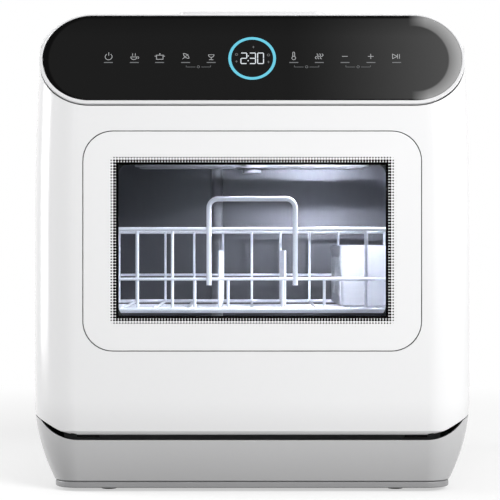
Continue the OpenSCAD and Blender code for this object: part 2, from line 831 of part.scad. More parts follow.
module drain_pump() {
  face_x = drain_pump_x - drain_pump_w / 2;
  motor_x = drain_pump_x + drain_pump_w / 2;
  color("dimgray") difference() {
    union() {
      rod_x(face_x, motor_x, sump_y, drain_pump_z, drain_pump_d);
      rod_x(motor_x, motor_x + drain_motor_l, sump_y, drain_pump_z, drain_motor_d);
    }
    rod_x(face_x + pump_t, motor_x - pump_t, sump_y, drain_pump_z, drain_pump_d - 2 * pump_t);
    rod_x(drain_pump_x - drain_pump_w, drain_pump_x, sump_y, sump_low_z + 14, pipe_d - 6);
    rod_x(drain_pump_x, motor_x + 20, sump_y, drain_pump_z, impeller_shaft_d + 2 * running);
  }
}

module drain_impeller() {
  wheel_d = drain_pump_d - 2 * pump_t - 6;
  color("white") translate([2 * drain_pump_x, 0, 0]) mirror([1, 0, 0]) {
    impeller(drain_pump_x, sump_y, drain_pump_z, wheel_d, drain_pump_w - 2 * pump_t - 4, 4);
  }
}

pump_pad_w = 30;
module pump_mounts() {
  floor_top = base_z + shell_t - eps;
  x_motor = pump_x - pump_w / 2 - motor_l / 2;
  translate([x_motor - pump_pad_w / 2, sump_y - 10, floor_top]) {
    cube([pump_pad_w, 20, pump_z - motor_d / 2 - floor_top - fit]);
  }
  x_drain = drain_pump_x + drain_pump_w / 2 + drain_motor_l / 2;
  translate([x_drain - pump_pad_w / 2, sump_y - 10, floor_top]) {
    cube([pump_pad_w, 20, drain_pump_z - drain_motor_d / 2 - floor_top - fit]);
  }
  translate([-12, sump_y - 12, floor_top]) cube([24, 24, sump_low_z - floor_top - fit]);
  for (x = [heater_x - heater_l / 2 + 15, heater_x + heater_l / 2 - 15]) {
    translate([x - 6, heater_y - 10, floor_top]) cube([12, 20, heater_z - heater_d / 2 - floor_top - fit]);
  }
}

heater_l = 130;
heater_d = 40;
heater_x = -92;
heater_y = hub_y - 30;
heater_z = 60;
module water_heater() {
  outlet_z = tub_floor_z - tub_t - 12;
  color("silver") rod_x(heater_x - heater_l / 2, heater_x + heater_l / 2, heater_y, heater_z, heater_d);
  inlet_z = pump_z + pump_d / 2 - pipe_d / 2;
  color("gray") rod_y(pump_x, heater_y, sump_y - pump_d / 2 - 14 - fit, inlet_z, pipe_d);
  color("gray") rod([pump_x, heater_y, heater_z], [pump_x, heater_y, inlet_z], pipe_d);
  color("gray") difference() {
    rod([heater_x + heater_l / 2 - 12, heater_y, heater_z], [0, hub_y, outlet_z], pipe_d - 4);
    rod_z(0, hub_y, 0, far, arm_shaft_d + 16 + 2 * fit);
  }
}

valve_l = 34;
valve_y = rear_y - fitting_in - valve_l / 2;
riser_z = fitting_z + 24;
module inlet_valve() {
  color("white") difference() {
    union() {
      rod_y(inlet_x, rear_y - fitting_in, rear_y + 1, fitting_z, inlet_d - 1);
      rod_y(inlet_x, rear_y, rear_y + fitting_out, fitting_z, inlet_d);
      translate([inlet_x - 16, rear_y - fitting_in - valve_l, fitting_z - 16]) cube([32, valve_l, 32]);
      rod_z(inlet_x, valve_y, fitting_z, riser_z, 22);
    }
    rod_y(inlet_x, rear_y - 20, rear_y + fitting_out + 1, fitting_z, inlet_d - 8);
  }
}

module tank_hose() {
  y = rear_y - shell_t - 14;
  z_top = tank_z + 12;
  z_low = riser_z + 32;
  tank_end = tank_y + tank_l / 2 - tank_t;
  elbow_d = tank_hose_d + elbow_grow;
  color("white") {
    rod_y(tank_out_x, tank_end, y, z_top, tank_hose_d);
    translate([tank_out_x, y, z_top]) sphere(d = elbow_d);
    rod_z(tank_out_x, y, z_low, z_top, tank_hose_d - 0.5);
    translate([tank_out_x, y, z_low]) sphere(d = elbow_d);
    rod([tank_out_x, y, z_low], [inlet_x, valve_y, riser_z + 12], tank_hose_d - 0.5);
    translate([inlet_x, valve_y, riser_z + 12]) sphere(d = elbow_d);
    rod_z(inlet_x, valve_y, riser_z + fit, riser_z + 12, tank_hose_d);
  }
}

drain_hose_d = 12;
module drain_hose() {
  bend_y = sump_y + drain_pump_d / 2 + 20;
  z = drain_pump_z + drain_pump_d / 2 - drain_hose_d;
  color("gray") {
    rod_y(drain_pump_x, sump_y + drain_pump_d / 2 + fit, bend_y, z, drain_hose_d);
    rod([drain_pump_x, bend_y, z], [drain_x, rear_y - fitting_in - 12, fitting_z], drain_hose_d - 0.5);
    rod_y(drain_x, rear_y - fitting_in - 12, rear_y - fitting_in - fit, fitting_z, drain_hose_d);
    translate([drain_pump_x, bend_y, z]) sphere(d = drain_hose_d + elbow_grow);
    translate([drain_x, rear_y - fitting_in - 12, fitting_z]) sphere(d = drain_hose_d + elbow_grow);
  }
}

module drain_spigot() {
  color("gray") difference() {
    union() {
      rod_y(drain_x, rear_y - fitting_in, rear_y + fitting_out, fitting_z, drain_d - 3);
      rod_y(drain_x, rear_y - fitting_in, rear_y, fitting_z, drain_d);
    }
    rod_y(drain_x, rear_y - 10, rear_y + fitting_out + 1, fitting_z, drain_d - 8);
  }
}

module power_gland() {
  color("black") difference() {
    union() {
      rod_y(gland_x, rear_y - fitting_in, rear_y + 6, fitting_z, gland_d);
      rod_y(gland_x, rear_y, rear_y + 4, fitting_z, gland_d + 6);
    }
    rod_y(gland_x, rear_y - 15, rear_y + 7, fitting_z, 8);
  }
}

module drying_fan_housing() {
  z0 = tub_roof_z + tub_t;
  color("dimgray") difference() {
    union() {
      rod_z(0, fan_y, z0, z0 + fan_h, fan_d);
      translate([-50, fan_y, z0]) cube([100, rear_y - shell_t - fit - fan_y, fan_h]);
    }
    rod_z(0, fan_y, z0 + 2, z0 + fan_h - 2, fan_d - 4);
    translate([-48, fan_y, z0 + 2]) cube([96, 200, fan_h - 4]);
    rod_z(0, fan_y, z0 - 1, z0 + 3, fan_in_d);
    rod_z(0, fan_y, z0 + fan_h - 3, z0 + fan_h + 1, fan_shaft_d + 2 * running);
  }
}

fan_shaft_d = 5;
fan_blades = 16;
module drying_fan_wheel() {
  z0 = tub_roof_z + tub_t + 4;
  wheel_d = fan_d - 16;
  wheel_h = fan_h - 9;
  color("gray") {
    rod_z(0, fan_y, z0 + wheel_h - 2, z0 + wheel_h, wheel_d);
    rod_z(0, fan_y, z0, tub_roof_z + tub_t + fan_h + 1, fan_shaft_d);
    for (k = [0 : fan_blades - 1]) translate([0, fan_y, z0]) rotate([0, 0, k * 360 / fan_blades]) {
      translate([wheel_d / 2 - 10, -0.75, 0]) cube([9, 1.5, wheel_h - 1]);
    }
  }
}

module interior_lamp() {
  color("aliceblue") {
    rod_z(lamp_x, lamp_y, tub_roof_z - 3, tub_roof_z, lamp_d + 6);
    rod_z(lamp_x, lamp_y, tub_roof_z - eps, tub_roof_z + 6, lamp_d - 2 * fit);
  }
}

float_x = 150;
float_y = mid_y - 90;
float_d = 34;
module leak_float() {
  z0 = base_z + shell_t + fit;
  color("ivory") {
    rod_z(float_x, float_y, z0, z0 + 10, float_d);
    rod_z(float_x, float_y, z0, z0 + 26, 6);
  }
}

module float_switch() {
  z0 = base_z + shell_t;
  color("dimgray") {
    difference() {
      translate([float_x - 14, float_y - float_d / 2 - 6, z0 + 18]) cube([28, 56, 4]);
      rod_z(float_x, float_y, z0, z0 + 60, 6 + 2 * running);
    }
    translate([float_x - 14, float_y - float_d / 2 - 6, z0]) cube([28, 5, 18 + eps]);
    translate([float_x - 14, float_y - float_d / 2 + 45, z0]) cube([28, 5, 18 + eps]);
    translate([float_x - 8, float_y + 8, z0 + 21]) cube([16, 20, 12]);
  }
}

// Rack, rails and rollers

rack_front_y = tub_front_y + 14;
rack_back_y = tub_back_y - 32;
rack_w = tub_w - 44;
rack_r = 20;
rack_mid_z = rack_floor_z + rack_mid_h;
rack_top_z = rack_floor_z + rack_top_h;
rail_len = tub_back_y - tub_front_y - 24;
rail_reach = 12.5;
rail_web = 2.5;
rail_top_t = 4;
rail_top_z = rack_floor_z - 31;
rail_low_z = rail_top_z - 4.5;
roller_z = rail_top_z + roller_d / 2 + fit;
roller_w = 8;
roller_x = tub_w / 2 - rail_web - roller_w / 2 - 1.5;
roller_front_y = rack_front_y + 38;
roller_rear_y = rack_back_y - 34;

module rack_rail() {
  y0 = tub_front_y + 4;
  top_in = roller_z + roller_d / 2 + fit;
  reach_x = tub_w / 2 - rail_reach;
  color("gainsboro") {
    translate([tub_w / 2 - rail_web, y0, rail_low_z]) {
      cube([rail_web - fit, rail_len, top_in + rail_top_t - rail_low_z]);
    }
    translate([reach_x, y0, rail_low_z]) cube([rail_reach - fit, rail_len, rail_top_z - rail_low_z]);
    translate([reach_x, y0, top_in]) cube([rail_reach - fit, rail_len, rail_top_t]);
  }
}

module rack_rail_right() { rack_rail(); }
module rack_rail_left() { mirror([1, 0, 0]) rack_rail(); }

// Wire hoop of four rods and four bends, level at height z. Its inner side is the same for every wire.
module wire_hoop(z, d) {
  straight_x = rack_w / 2 - rack_r;
  rod_end = straight_x - weld_gap;
  rod_in = rack_r + weld_gap;
  for (side = [-1, 1]) {
    rod_y(side * (rack_w / 2 + d / 2), rack_front_y + rod_in, rack_back_y - rod_in, z, d);
    for (end = [-1, 1]) {
      y = end < 0 ? rack_front_y + rack_r : rack_back_y - rack_r;
      turn = side > 0 ? (end < 0 ? -90 : 0) : (end < 0 ? 180 : 90);
      translate([side * straight_x, y, z]) rotate([0, 0, turn]) rotate_extrude(angle = 90) {
        translate([rack_r + d / 2, 0]) circle(d = d);
      }
    }
  }
  for (y = [rack_front_y - d / 2, rack_back_y + d / 2]) rod_x(-rod_end, rod_end, y, z, d);
}

// The upright wires of the rack front, by their distance from the middle.
front_full_wires = [-112.6, -78.3, 111.7];
front_low_wires = [-56.3, -23.6, 29.8, 70.9];
floor_wires = 9;
side_wires = 6;
weld_gap = 0.05;
tine_wires = [3, 5];
tine_d = wire_d - 0.2;
tine_h = 58;
tine_count = 9;

// Every wire is a solid of its own. Where wires meet they stand a weld gap apart.
module dish_rack() {
  floor_run = rack_w - 2 * rack_r;
  floor_step = floor_run / (floor_wires - 1);
  side_step = (rack_back_y - rack_front_y - 2 * rack_r) / (side_wires - 1);
  cross_z = rack_floor_z - (rail_wire_d + wire_d) / 2 - weld_gap;
  lengthwise_z = cross_z + wire_d + weld_gap;
  standing_z = lengthwise_z + wire_d / 2 + weld_gap;
  wire_in = wire_d / 2 + weld_gap;
  color("white") {
    wire_hoop(rack_top_z, rail_wire_d);
    wire_hoop(rack_mid_z, wire_d);
    wire_hoop(rack_floor_z, rail_wire_d);
    for (k = [0 : floor_wires - 1]) {
      x = k * floor_step - floor_run / 2;
      rod_y(x, rack_front_y + weld_gap, rack_back_y - weld_gap, lengthwise_z, wire_d);
      rod_z(x, rack_back_y - wire_in, standing_z, rack_top_z, tine_d);
    }
    for (k = [0 : side_wires - 1], side = [-1, 1]) {
      y = rack_front_y + rack_r + k * side_step;
      rod_z(side * (rack_w / 2 - wire_in), y, rack_floor_z, rack_top_z, wire_d);
    }
    for (k = [1 : side_wires - 1]) {
      rod_x(-cross_end, cross_end, rack_front_y + rack_r + (k - 0.5) * side_step, cross_z, wire_d);
    }
    for (x = front_full_wires) rod_z(x, rack_front_y + wire_in, rack_floor_z, rack_top_z, wire_d);
    for (x = front_low_wires) rod_z(x, rack_front_y + wire_in, rack_floor_z, rack_mid_z, wire_d);
    for (k = tine_wires) tine_row(k * floor_step - floor_run / 2, standing_z);
    for (side = [-1, 1], y = [roller_front_y, roller_rear_y]) axle_post(side, y);
  }
}

module tine_row(x, z) {
  run = rack_back_y - rack_front_y - 70;
  for (k = [0 : tine_count - 1]) {
    rod_z(x, rack_front_y + 45 + k * run / (tine_count - 1), z, rack_floor_z + tine_h, tine_d);
  }
}

cross_end = rack_w / 2 + 1;
post_w = 5;
post_l = 16;
module axle_post(side, y) {
  post_low_z = roller_z - axle_d;
  post_top_z = rack_floor_z - rail_wire_d / 2 - weld_gap;
  mirror([side < 0 ? 1 : 0, 0, 0]) {
    translate([cross_end + weld_gap, y - post_l / 2, post_low_z]) {
      cube([post_w, post_l, post_top_z - post_low_z]);
    }
    rod_x(cross_end + post_w + 2 * weld_gap, roller_x + roller_w / 2 + 1, y, roller_z, axle_d);
  }
}

module roller(y) {
  for (side = [-1, 1]) difference() {
    rod_x(side * roller_x - roller_w / 2, side * roller_x + roller_w / 2, y, roller_z, roller_d);
    rod_x(side * roller_x - roller_w, side * roller_x + roller_w, y, roller_z, axle_d + 2 * running);
  }
}
module rack_rollers_front() { color("lightgray") roller(roller_front_y); }
module rack_rollers_rear() { color("lightgray") roller(roller_rear_y); }

handle_r = 9;
module rack_handle() {
  x = handle_w / 2 - handle_wire_d / 2;
  y = rack_front_y - rail_wire_d - handle_wire_d / 2;
  top = rack_floor_z + handle_h - handle_wire_d / 2;
  low = rack_mid_z - 6;
  color("white") {
    for (side = [-1, 1]) {
      rod_z(side * x, y, low, top - handle_r, handle_wire_d);
      translate([side * (x - handle_r), y, top - handle_r]) rotate([90, 0, 0]) {
        rotate([0, 0, side > 0 ? 0 : 90]) rotate_extrude(angle = 90) {
          translate([handle_r, 0]) circle(d = handle_wire_d);
        }
      }
    }
    rod_x(-x + handle_r, x - handle_r, y, top, handle_wire_d);
  }
}

basket_w = 56;
basket_l = 190;
basket_h = 62;
basket_t = 2;
basket_cells = 4;
module cutlery_basket() {
  x = rack_w / 2 - basket_w / 2 - 6;
  y = rack_back_y - 20 - basket_l / 2;
  z = rack_floor_z - rail_wire_d / 2 + wire_d + fit;
  cell = (basket_l - (basket_cells + 1) * basket_t) / basket_cells;
  color("silver") difference() {
    translate([x, y, z]) block(basket_w, basket_l, basket_h, 6);
    for (k = [0 : basket_cells - 1]) {
      cell_y = y - basket_l / 2 + basket_t + cell / 2 + k * (cell + basket_t);
      translate([x, cell_y, z + basket_t]) block(basket_w - 2 * basket_t, cell, basket_h, 4);
      for (j = [-1 : 1]) {
        translate([x - basket_w, cell_y + j * 13 - 3, z + 10]) cube([2 * basket_w, 6, basket_h - 22]);
      }
    }
  }
}

// Door

pan_drop = 4.6;
boss_w = 12;
glass_sunk = 0.2;

module door_blank(inset) {
  roll_r = hinge_in - inset;
  roll_y = front_y + hinge_in;
  roll_z = door_low_z + hinge_in;
  intersection() {
    body_form(inset);
    slab_y(front_y - 1, door_back_y);
    above_low_curve(-inset, seam_z + 1 + inset);
    through_x() polygon(concat(
      [for (k = [0 : 6]) let (a = 180 + 15 * k)
        [roll_y + roll_r * cos(a), roll_z + roll_r * sin(a)]],
      [[far, door_low_z + inset], [far, far], [front_y + inset, far]]));
  }
}

module door_outer() {
  pocket_w = glass_w + 2 * glass_gap;
  pocket_h = glass_h + 2 * glass_gap;
  color("white") difference() {
    union() {
      difference() {
        door_blank(0);
        difference() {
          door_blank(shell_t);
          panel_region(door_top_gap + shell_t);
        }
      }
      upright(glass_w + boss_w, glass_h + boss_w, glass_r + boss_w / 2, glass_low_z - boss_w / 2,
        front_y + shell_t - eps, front_y + glass_t + shell_t);
    }
    panel_region(door_top_gap);
    intersection() {
      panel_region(pan_drop);
      slab_y(front_y + door_shell_d, far);
    }
    upright(pocket_w, pocket_h, glass_r + glass_gap, glass_low_z - glass_gap, front_y - 1,
      front_y + glass_t + glass_sunk);
    upright(window_w, window_h, 12, window_low_z, front_y, front_y + 30);
    translate([-far / 2, front_y + door_shell_d, 0]) cube([far, far, hinge_z]);
    for (side = [-1, 1]) hinge_slot(side);
  }
}

bracket_t = 4;
slot_side = 1.5;
module hinge_slot(side) {
  translate([side * (hinge_x + bracket_t / 2) - bracket_t / 2 - slot_side, hinge_y - 10.5, 0]) {
    cube([bracket_t + 2 * slot_side, far, hinge_z - 4]);
  }
}

module door_glass() {
  glass_y = front_y + glass_sunk;
  color("white") upright(glass_w, glass_h, glass_r, glass_low_z, glass_y, glass_y + glass_t);
}

pan_t = 2;
dispenser_x = -70;
dispenser_z = tub_floor_z + 4;
dispenser_w = 110;
dispenser_h = 42;
dispenser_d = 18;
module door_inner() {
  out = shell_t + fit;
  color("silver") difference() {
    intersection() {
      body_form(out);
      slab_y(front_y + door_shell_d, door_back_y);
      translate([-far / 2, front_y, hinge_z]) cube(far);
      above_low_curve(-out, seam_z + 1 + out);
    }
    intersection() {
      body_form(out + pan_t);
      slab_y(front_y, door_back_y - pan_t);
      translate([-far / 2, front_y, hinge_z + pan_t]) cube(far);
      translate([-far / 2, front_y, -pan_drop - shell_t - pan_t]) cube([far, far, panel_low_z]);
    }
    panel_region(pan_drop);
    upright(window_w - 4, window_h, 14, window_low_z, front_y, far);
    translate([dispenser_x - dispenser_w / 2, front_y, dispenser_z]) cube([dispenser_w, far, dispenser_h]);
  }
  color("silver") translate([-catch_w / 2, door_back_y - pan_t, catch_low_z]) {
    cube([catch_w, pan_t + frame_y + frame_t + latch_in - 2 - door_back_y, catch_h]);
  }
}

window_t = 4;
gasket_t = 2;
module window_unit() {
  w = window_w + 8;
  h = window_h + 8;
  back = door_back_y - pan_t;
  color("lightblue") upright(w, h, 14, window_low_z - 4, back - gasket_t - window_t, back - gasket_t);
  color("dimgray") difference() {
    upright(w, h, 14, window_low_z - 4, back - gasket_t, back);
    upright(window_w - 8, window_h - 4, 12, window_low_z + 2, back - gasket_t - 1, back + 1);
  }
}

cup_w = 50;
cup_lid_t = 2;
grip_h = 20;
module detergent_dispenser() {
  back = door_back_y;
  z0 = dispenser_z + fit;
  w = dispenser_w - 2 * fit;
  h = dispenser_h - 2 * fit;
  color("dimgray") difference() {
    translate([dispenser_x - w / 2, back - dispenser_d, z0]) cube([w, dispenser_d + 1, h]);
    translate([dispenser_x - w / 2 + 6, back - dispenser_d + 2, z0 + 7]) {
      cube([cup_w - 8, dispenser_d, h - 14]);
    }
  }
  color("dimgray") for (z = [z0 + 1, z0 + h - 3]) {
    translate([dispenser_x - w / 2, back + 1 - eps, z]) cube([w, 3.5, 2]);
  }
}

module dispenser_lid() {
  x0 = dispenser_x - dispenser_w / 2;
  y0 = door_back_y + 1 + fit;
  z0 = dispenser_z + fit + 3 + fit;
  h = dispenser_h - 2 * fit - 6 - 2 * fit;
  color("lightgray") {
    translate([x0 + 2, y0, z0]) cube([cup_w, cup_lid_t, h]);
    translate([x0 + 8, y0 + cup_lid_t - eps, z0 + (h - grip_h) / 2]) cube([4, 1.4, grip_h]);
  }
}

arm_plate_t = 3;
washer_t = 0.8;
arm_x = hinge_x + bracket_t + washer_t + 0.2;
module side_plate(x, t) {
  translate([x + t / 2, 0, 0]) through_x(t) children();
}

module hinge_bracket() {
  eye_r = 9;
  color("silver") {
    difference() {
      side_plate(hinge_x, bracket_t) {
        translate([hinge_y, hinge_z]) circle(r = eye_r);
        translate([hinge_y, hinge_z - eye_r]) square([frame_y - hinge_y, eye_r - 1.5]);
      }
      rod_x(hinge_x - 1, hinge_x + bracket_t + 1, hinge_y, hinge_z, hinge_pin_d + 2 * running);
    }
    translate([hinge_x - 18, frame_y - 3, hinge_z - 26]) cube([18 + bracket_t, 3, 34]);
  }
}

module hinge_arm() {
  eye_r = 7.5;
  color("silver") difference() {
    side_plate(arm_x, arm_plate_t) {
      translate([hinge_y, hinge_z]) circle(r = eye_r);
      translate([hinge_y - 4, hinge_z]) square([14, 110]);
      translate([hinge_y, hinge_z + 22]) square([door_back_y - pan_t - fit - hinge_y, 88]);
    }
    rod_x(arm_x - 1, arm_x + arm_plate_t + 1, hinge_y, hinge_z, hinge_pin_d);
  }
}

module hinge_bracket_right() { hinge_bracket(); }
module hinge_bracket_left() { mirror([1, 0, 0]) hinge_bracket(); }
module hinge_arm_right() { hinge_arm(); }
module hinge_arm_left() { mirror([1, 0, 0]) hinge_arm(); }

module hinge_pins() {
  color("silver") for (flip = [0, 1]) mirror([flip, 0, 0]) {
    rod_x(hinge_x - 3, arm_x + arm_plate_t, hinge_y, hinge_z, hinge_pin_d);
    rod_x(hinge_x - 5, hinge_x - 1, hinge_y, hinge_z, hinge_pin_d + 4);
  }
}

cabinet_shell();
back_panel();
back_screws();
base_tray();
plinth();
rubber_feet();
front_frame();
control_housing();
control_trim();
control_glass();
light_ring();
display_module();
control_board();
fill_lid();
fill_lid_pin();
fill_funnel();
water_tank();
inner_tub();
door_seal();
sump();
filter_plate();
filter_cup();
lower_arm_hub();
lower_spray_arm();
upper_arm_hub();
upper_spray_arm();
feed_pipe();
circulation_pump();
circulation_impeller();
drain_pump();
drain_impeller();
water_heater();
inlet_valve();
tank_hose();
drain_hose();
drain_spigot();
power_gland();
drying_fan_housing();
drying_fan_wheel();
interior_lamp();
leak_float();
float_switch();
rack_rail_left();
rack_rail_right();
dish_rack();
rack_handle();
cutlery_basket();
rack_rollers_front();
rack_rollers_rear();
hinge_bracket_left();
hinge_bracket_right();
hinge_arm_left();
hinge_arm_right();
hinge_pins();
door_outer();
door_glass();
door_inner();
window_unit();
detergent_dispenser();
dispenser_lid();
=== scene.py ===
import json
import math

import bmesh
import bpy
from mathutils import Matrix, Vector

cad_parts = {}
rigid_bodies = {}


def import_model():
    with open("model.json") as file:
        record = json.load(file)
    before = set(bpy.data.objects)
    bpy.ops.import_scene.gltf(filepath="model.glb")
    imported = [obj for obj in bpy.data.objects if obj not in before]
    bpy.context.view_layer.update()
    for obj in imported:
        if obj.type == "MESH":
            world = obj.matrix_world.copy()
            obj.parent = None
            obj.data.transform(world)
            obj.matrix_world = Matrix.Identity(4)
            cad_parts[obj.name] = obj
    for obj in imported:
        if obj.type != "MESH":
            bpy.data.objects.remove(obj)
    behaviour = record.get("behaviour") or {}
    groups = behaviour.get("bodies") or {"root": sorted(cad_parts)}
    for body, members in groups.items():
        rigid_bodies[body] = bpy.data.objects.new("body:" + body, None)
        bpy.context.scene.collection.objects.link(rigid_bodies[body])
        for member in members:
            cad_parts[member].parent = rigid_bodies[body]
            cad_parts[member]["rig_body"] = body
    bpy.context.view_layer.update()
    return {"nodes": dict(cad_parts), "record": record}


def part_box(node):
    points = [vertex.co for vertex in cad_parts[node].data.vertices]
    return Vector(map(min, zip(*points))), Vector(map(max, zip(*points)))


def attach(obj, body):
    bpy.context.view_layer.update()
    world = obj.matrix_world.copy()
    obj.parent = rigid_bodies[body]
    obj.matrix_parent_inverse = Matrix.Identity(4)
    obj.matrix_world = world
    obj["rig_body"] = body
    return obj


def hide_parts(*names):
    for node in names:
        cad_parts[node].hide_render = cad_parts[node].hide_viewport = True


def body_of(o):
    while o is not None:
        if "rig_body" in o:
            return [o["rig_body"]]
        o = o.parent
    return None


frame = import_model()

# Camera: it stands 1.6 m in front of the door, level with the middle of the body.
# The object's centre line lies two pixels right of the picture's centre line.
camera_left, camera_away, camera_high = 0.00206, 1.8175, 0.2295
camera = bpy.data.objects.new("camera", bpy.data.cameras.new("camera"))
bpy.context.scene.collection.objects.link(camera)
bpy.context.scene.camera = camera
camera.data.sensor_width = 36
camera.data.lens = 122.8
camera.data.clip_end = 60
camera.location = (-camera_left, -camera_away, camera_high)
camera.rotation_euler = (math.pi / 2, 0, 0)
bpy.context.scene.view_settings.view_transform = "Standard"

# Room and floor: white, lit by four large soft lamps.
# The camera, mirrors and glass see them white, and the floor keeps a soft shadow under the feet.


def math_node(tree, operation, *values):
    """A maths node whose inputs are numbers or other nodes' outputs."""
    node = tree.nodes.new("ShaderNodeMath")
    node.operation = operation
    for socket, value in zip(node.inputs, values):
        if isinstance(value, (int, float)):
            socket.default_value = value
        else:
            tree.links.new(value, socket)
    return node.outputs[0]


def seen_directly(tree):
    """1 for rays from the camera, a mirror or through glass, and 0 for the light on the object."""
    path = tree.nodes.new("ShaderNodeLightPath")
    by_eye = math_node(tree, "MAXIMUM", path.outputs["Is Camera Ray"], path.outputs["Is Transmission Ray"])
    return math_node(tree, "MAXIMUM", by_eye, path.outputs["Is Glossy Ray"])


room = bpy.data.worlds.new("white_room")
bpy.context.scene.world = room
room.use_nodes = True
room_light = room.node_tree.nodes["Background"]
room_light.inputs["Color"].default_value = (1, 1, 1, 1)
room_strength = room.node_tree.nodes.new("ShaderNodeMapRange")
room_strength.inputs["To Min"].default_value = 0.42
room_strength.inputs["To Max"].default_value = 1.0
room.node_tree.links.new(seen_directly(room.node_tree), room_strength.inputs["Value"])
room.node_tree.links.new(room_strength.outputs["Result"], room_light.inputs["Strength"])

floor_white = bpy.data.materials.new("floor_white")
floor_white.use_nodes = True
tree = floor_white.node_tree
paint = tree.nodes["Principled BSDF"]
paint.inputs["Roughness"].default_value = 0.9
paint.inputs["Specular IOR Level"].default_value = 0.1
albedo = tree.nodes.new("ShaderNodeMix")
albedo.data_type = "RGBA"
albedo.inputs["A"].default_value = (0.2, 0.2, 0.2, 1)
albedo.inputs["B"].default_value = (0.92, 0.92, 0.92, 1)
glow = tree.nodes.new("ShaderNodeEmission")
blend = tree.nodes.new("ShaderNodeMixShader")
where = tree.nodes.new("ShaderNodeTexCoord")
distance = tree.nodes.new("ShaderNodeVectorMath")
distance.operation = "LENGTH"
far_off = tree.nodes.new("ShaderNodeMapRange")
far_off.inputs["From Min"].default_value = 0.45
far_off.inputs["From Max"].default_value = 1.1
far_off.inputs["To Min"].default_value = 0.55
direct = seen_directly(tree)
tree.links.new(where.outputs["Object"], distance.inputs[0])
tree.links.new(distance.outputs["Value"], far_off.inputs["Value"])
tree.links.new(direct, albedo.inputs["Factor"])
tree.links.new(albedo.outputs["Result"], paint.inputs["Base Color"])
tree.links.new(math_node(tree, "MULTIPLY", direct, far_off.outputs["Result"]), blend.inputs[0])
tree.links.new(paint.outputs[0], blend.inputs[1])
tree.links.new(glow.outputs[0], blend.inputs[2])
tree.links.new(blend.outputs[0], tree.nodes["Material Output"].inputs["Surface"])

floor_reach = 40
sheet = bmesh.new()
bmesh.ops.create_grid(sheet, x_segments=1, y_segments=1, size=floor_reach)
floor = bpy.data.objects.new("floor", bpy.data.meshes.new("floor"))
sheet.to_mesh(floor.data)
sheet.free()
bpy.context.scene.collection.objects.link(floor)
floor.data.materials.append(floor_white)


def soft_lamp(name, place, target, width, height, watts):
    """A rectangular lamp that stands at a place and faces a target."""
    lamp = bpy.data.objects.new(name, bpy.data.lights.new(name, "AREA"))
    lamp.data.shape = "RECTANGLE"
    lamp.data.size, lamp.data.size_y = width, height
    lamp.data.energy = watts
    lamp.location = place
    lamp.rotation_euler = (Vector(target) - Vector(place)).to_track_quat("-Z", "Y").to_euler()
    bpy.context.scene.collection.objects.link(lamp)


body_middle = (0, 0, 0.25)
soft_lamp("key_lamp", (1.3, -2.2, 1.6), body_middle, 1.2, 1.2, 64)
soft_lamp("left_lamp", (-2.0, 0.1, 0.7), body_middle, 1.0, 1.4, 30)
soft_lamp("right_lamp", (2.0, -0.9, 0.8), body_middle, 0.8, 1.4, 8)
soft_lamp("top_lamp", (0, 0.3, 2.2), (0, 0, 0.3), 1.6, 1.6, 2)

# Door skin: one glossy white moulding, rolled round at its sides and lower edge.
# It wraps up beside the control panel, and is hollow behind for the window and the inner pan.
side, front, back, top = 0.209, -0.2175, 0.2075, 0.4567
front_round, rear_round, wall = 0.044, 0.026, 0.003
slope = math.radians(24)
slope_low, panel_mid, panel_half, panel_end, panel_gap = 0.36644, 0.41157, 0.1528, 0.0494, 0.0016
lean_from, lean_to, lean, lean_reach, lean_steps = 0.25, 0.4117, 0.0045, 0.14, 7
crown_wide, crown_high = 0.0515, 0.045
door_low, door_back, door_roll, roll_flat = 0.0557, -0.1675, 0.0134, 2.2
slant, slant_in, slant_round = math.radians(26.6), 0.0349, 0.0115
tuck_from, tuck_to, tuck_most, tuck_steps = 0.088, 0.0104, 0.019, 14
hinge_side, hinge_slot_half, hinge_slot_in, hinge_slot_high = 0.168, 0.0028, 0.0045, 0.07
slope_foot = Vector((0, front, slope_low))
slope_normal = Vector((0, -math.cos(slope), math.sin(slope)))
# A cutter runs past what it cuts, and a full round stays a hair under half the height.
past, full_round = 0.02, 0.9999
glass_wide, glass_high, glass_round, glass_low = 0.318, 0.2066, 0.028, 0.1346
glass_thick, glass_gap, glass_sunk = 0.004, 0.0004, 0.0002
window_wide, window_high, window_round, window_low = 0.266, 0.1535, 0.012, 0.1618


def everything(bm):
    """All that a cut through a bmesh works on."""
    return bm.verts[:] + bm.edges[:] + bm.faces[:]


def trim_off(bm, spot, normal):
    """Cuts off all that lies on the normal's side of a plane, and closes the cut."""
    made = bmesh.ops.bisect_plane(bm, geom=everything(bm), plane_co=spot, plane_no=normal, clear_outer=True)
    rim = [g for g in made["geom_cut"] if isinstance(g, bmesh.types.BMEdge)]
    bmesh.ops.contextual_create(bm, geom=rim)


def block(low, high):
    """A plain box between two opposite corners."""
    bm = bmesh.new()
    bmesh.ops.create_cube(bm, size=1)
    bmesh.ops.scale(bm, vec=Vector(high) - Vector(low), verts=bm.verts)
    bmesh.ops.translate(bm, vec=(Vector(high) + Vector(low)) / 2, verts=bm.verts)
    return bm


def edges_along(bm, axis, passes=lambda middle: True):
    """The straight edges along an axis whose middle passes the test."""
    found = []
    for edge in bm.edges:
        run = edge.verts[1].co - edge.verts[0].co
        middle = (edge.verts[0].co + edge.verts[1].co) / 2
        if abs(abs(run[axis]) - run.length) < 1e-6 and passes(middle):
            found.append(edge)
    return found


def round_edges(bm, edges, radius, segments, profile=0.5, clamp=False):
    """Rounds the given edges."""
    bmesh.ops.bevel(bm, geom=edges, offset=radius, segments=segments, profile=profile, affect="EDGES",
                    material=-1, clamp_overlap=clamp)


def round_rims(bm, radius, segments=2, degrees=50):
    """Rounds every edge that turns more than an angle."""
    sharp = [e for e in bm.edges if e.is_manifold and e.calc_face_angle(0) > math.radians(degrees)]
    round_edges(bm, sharp, radius, segments, clamp=True)


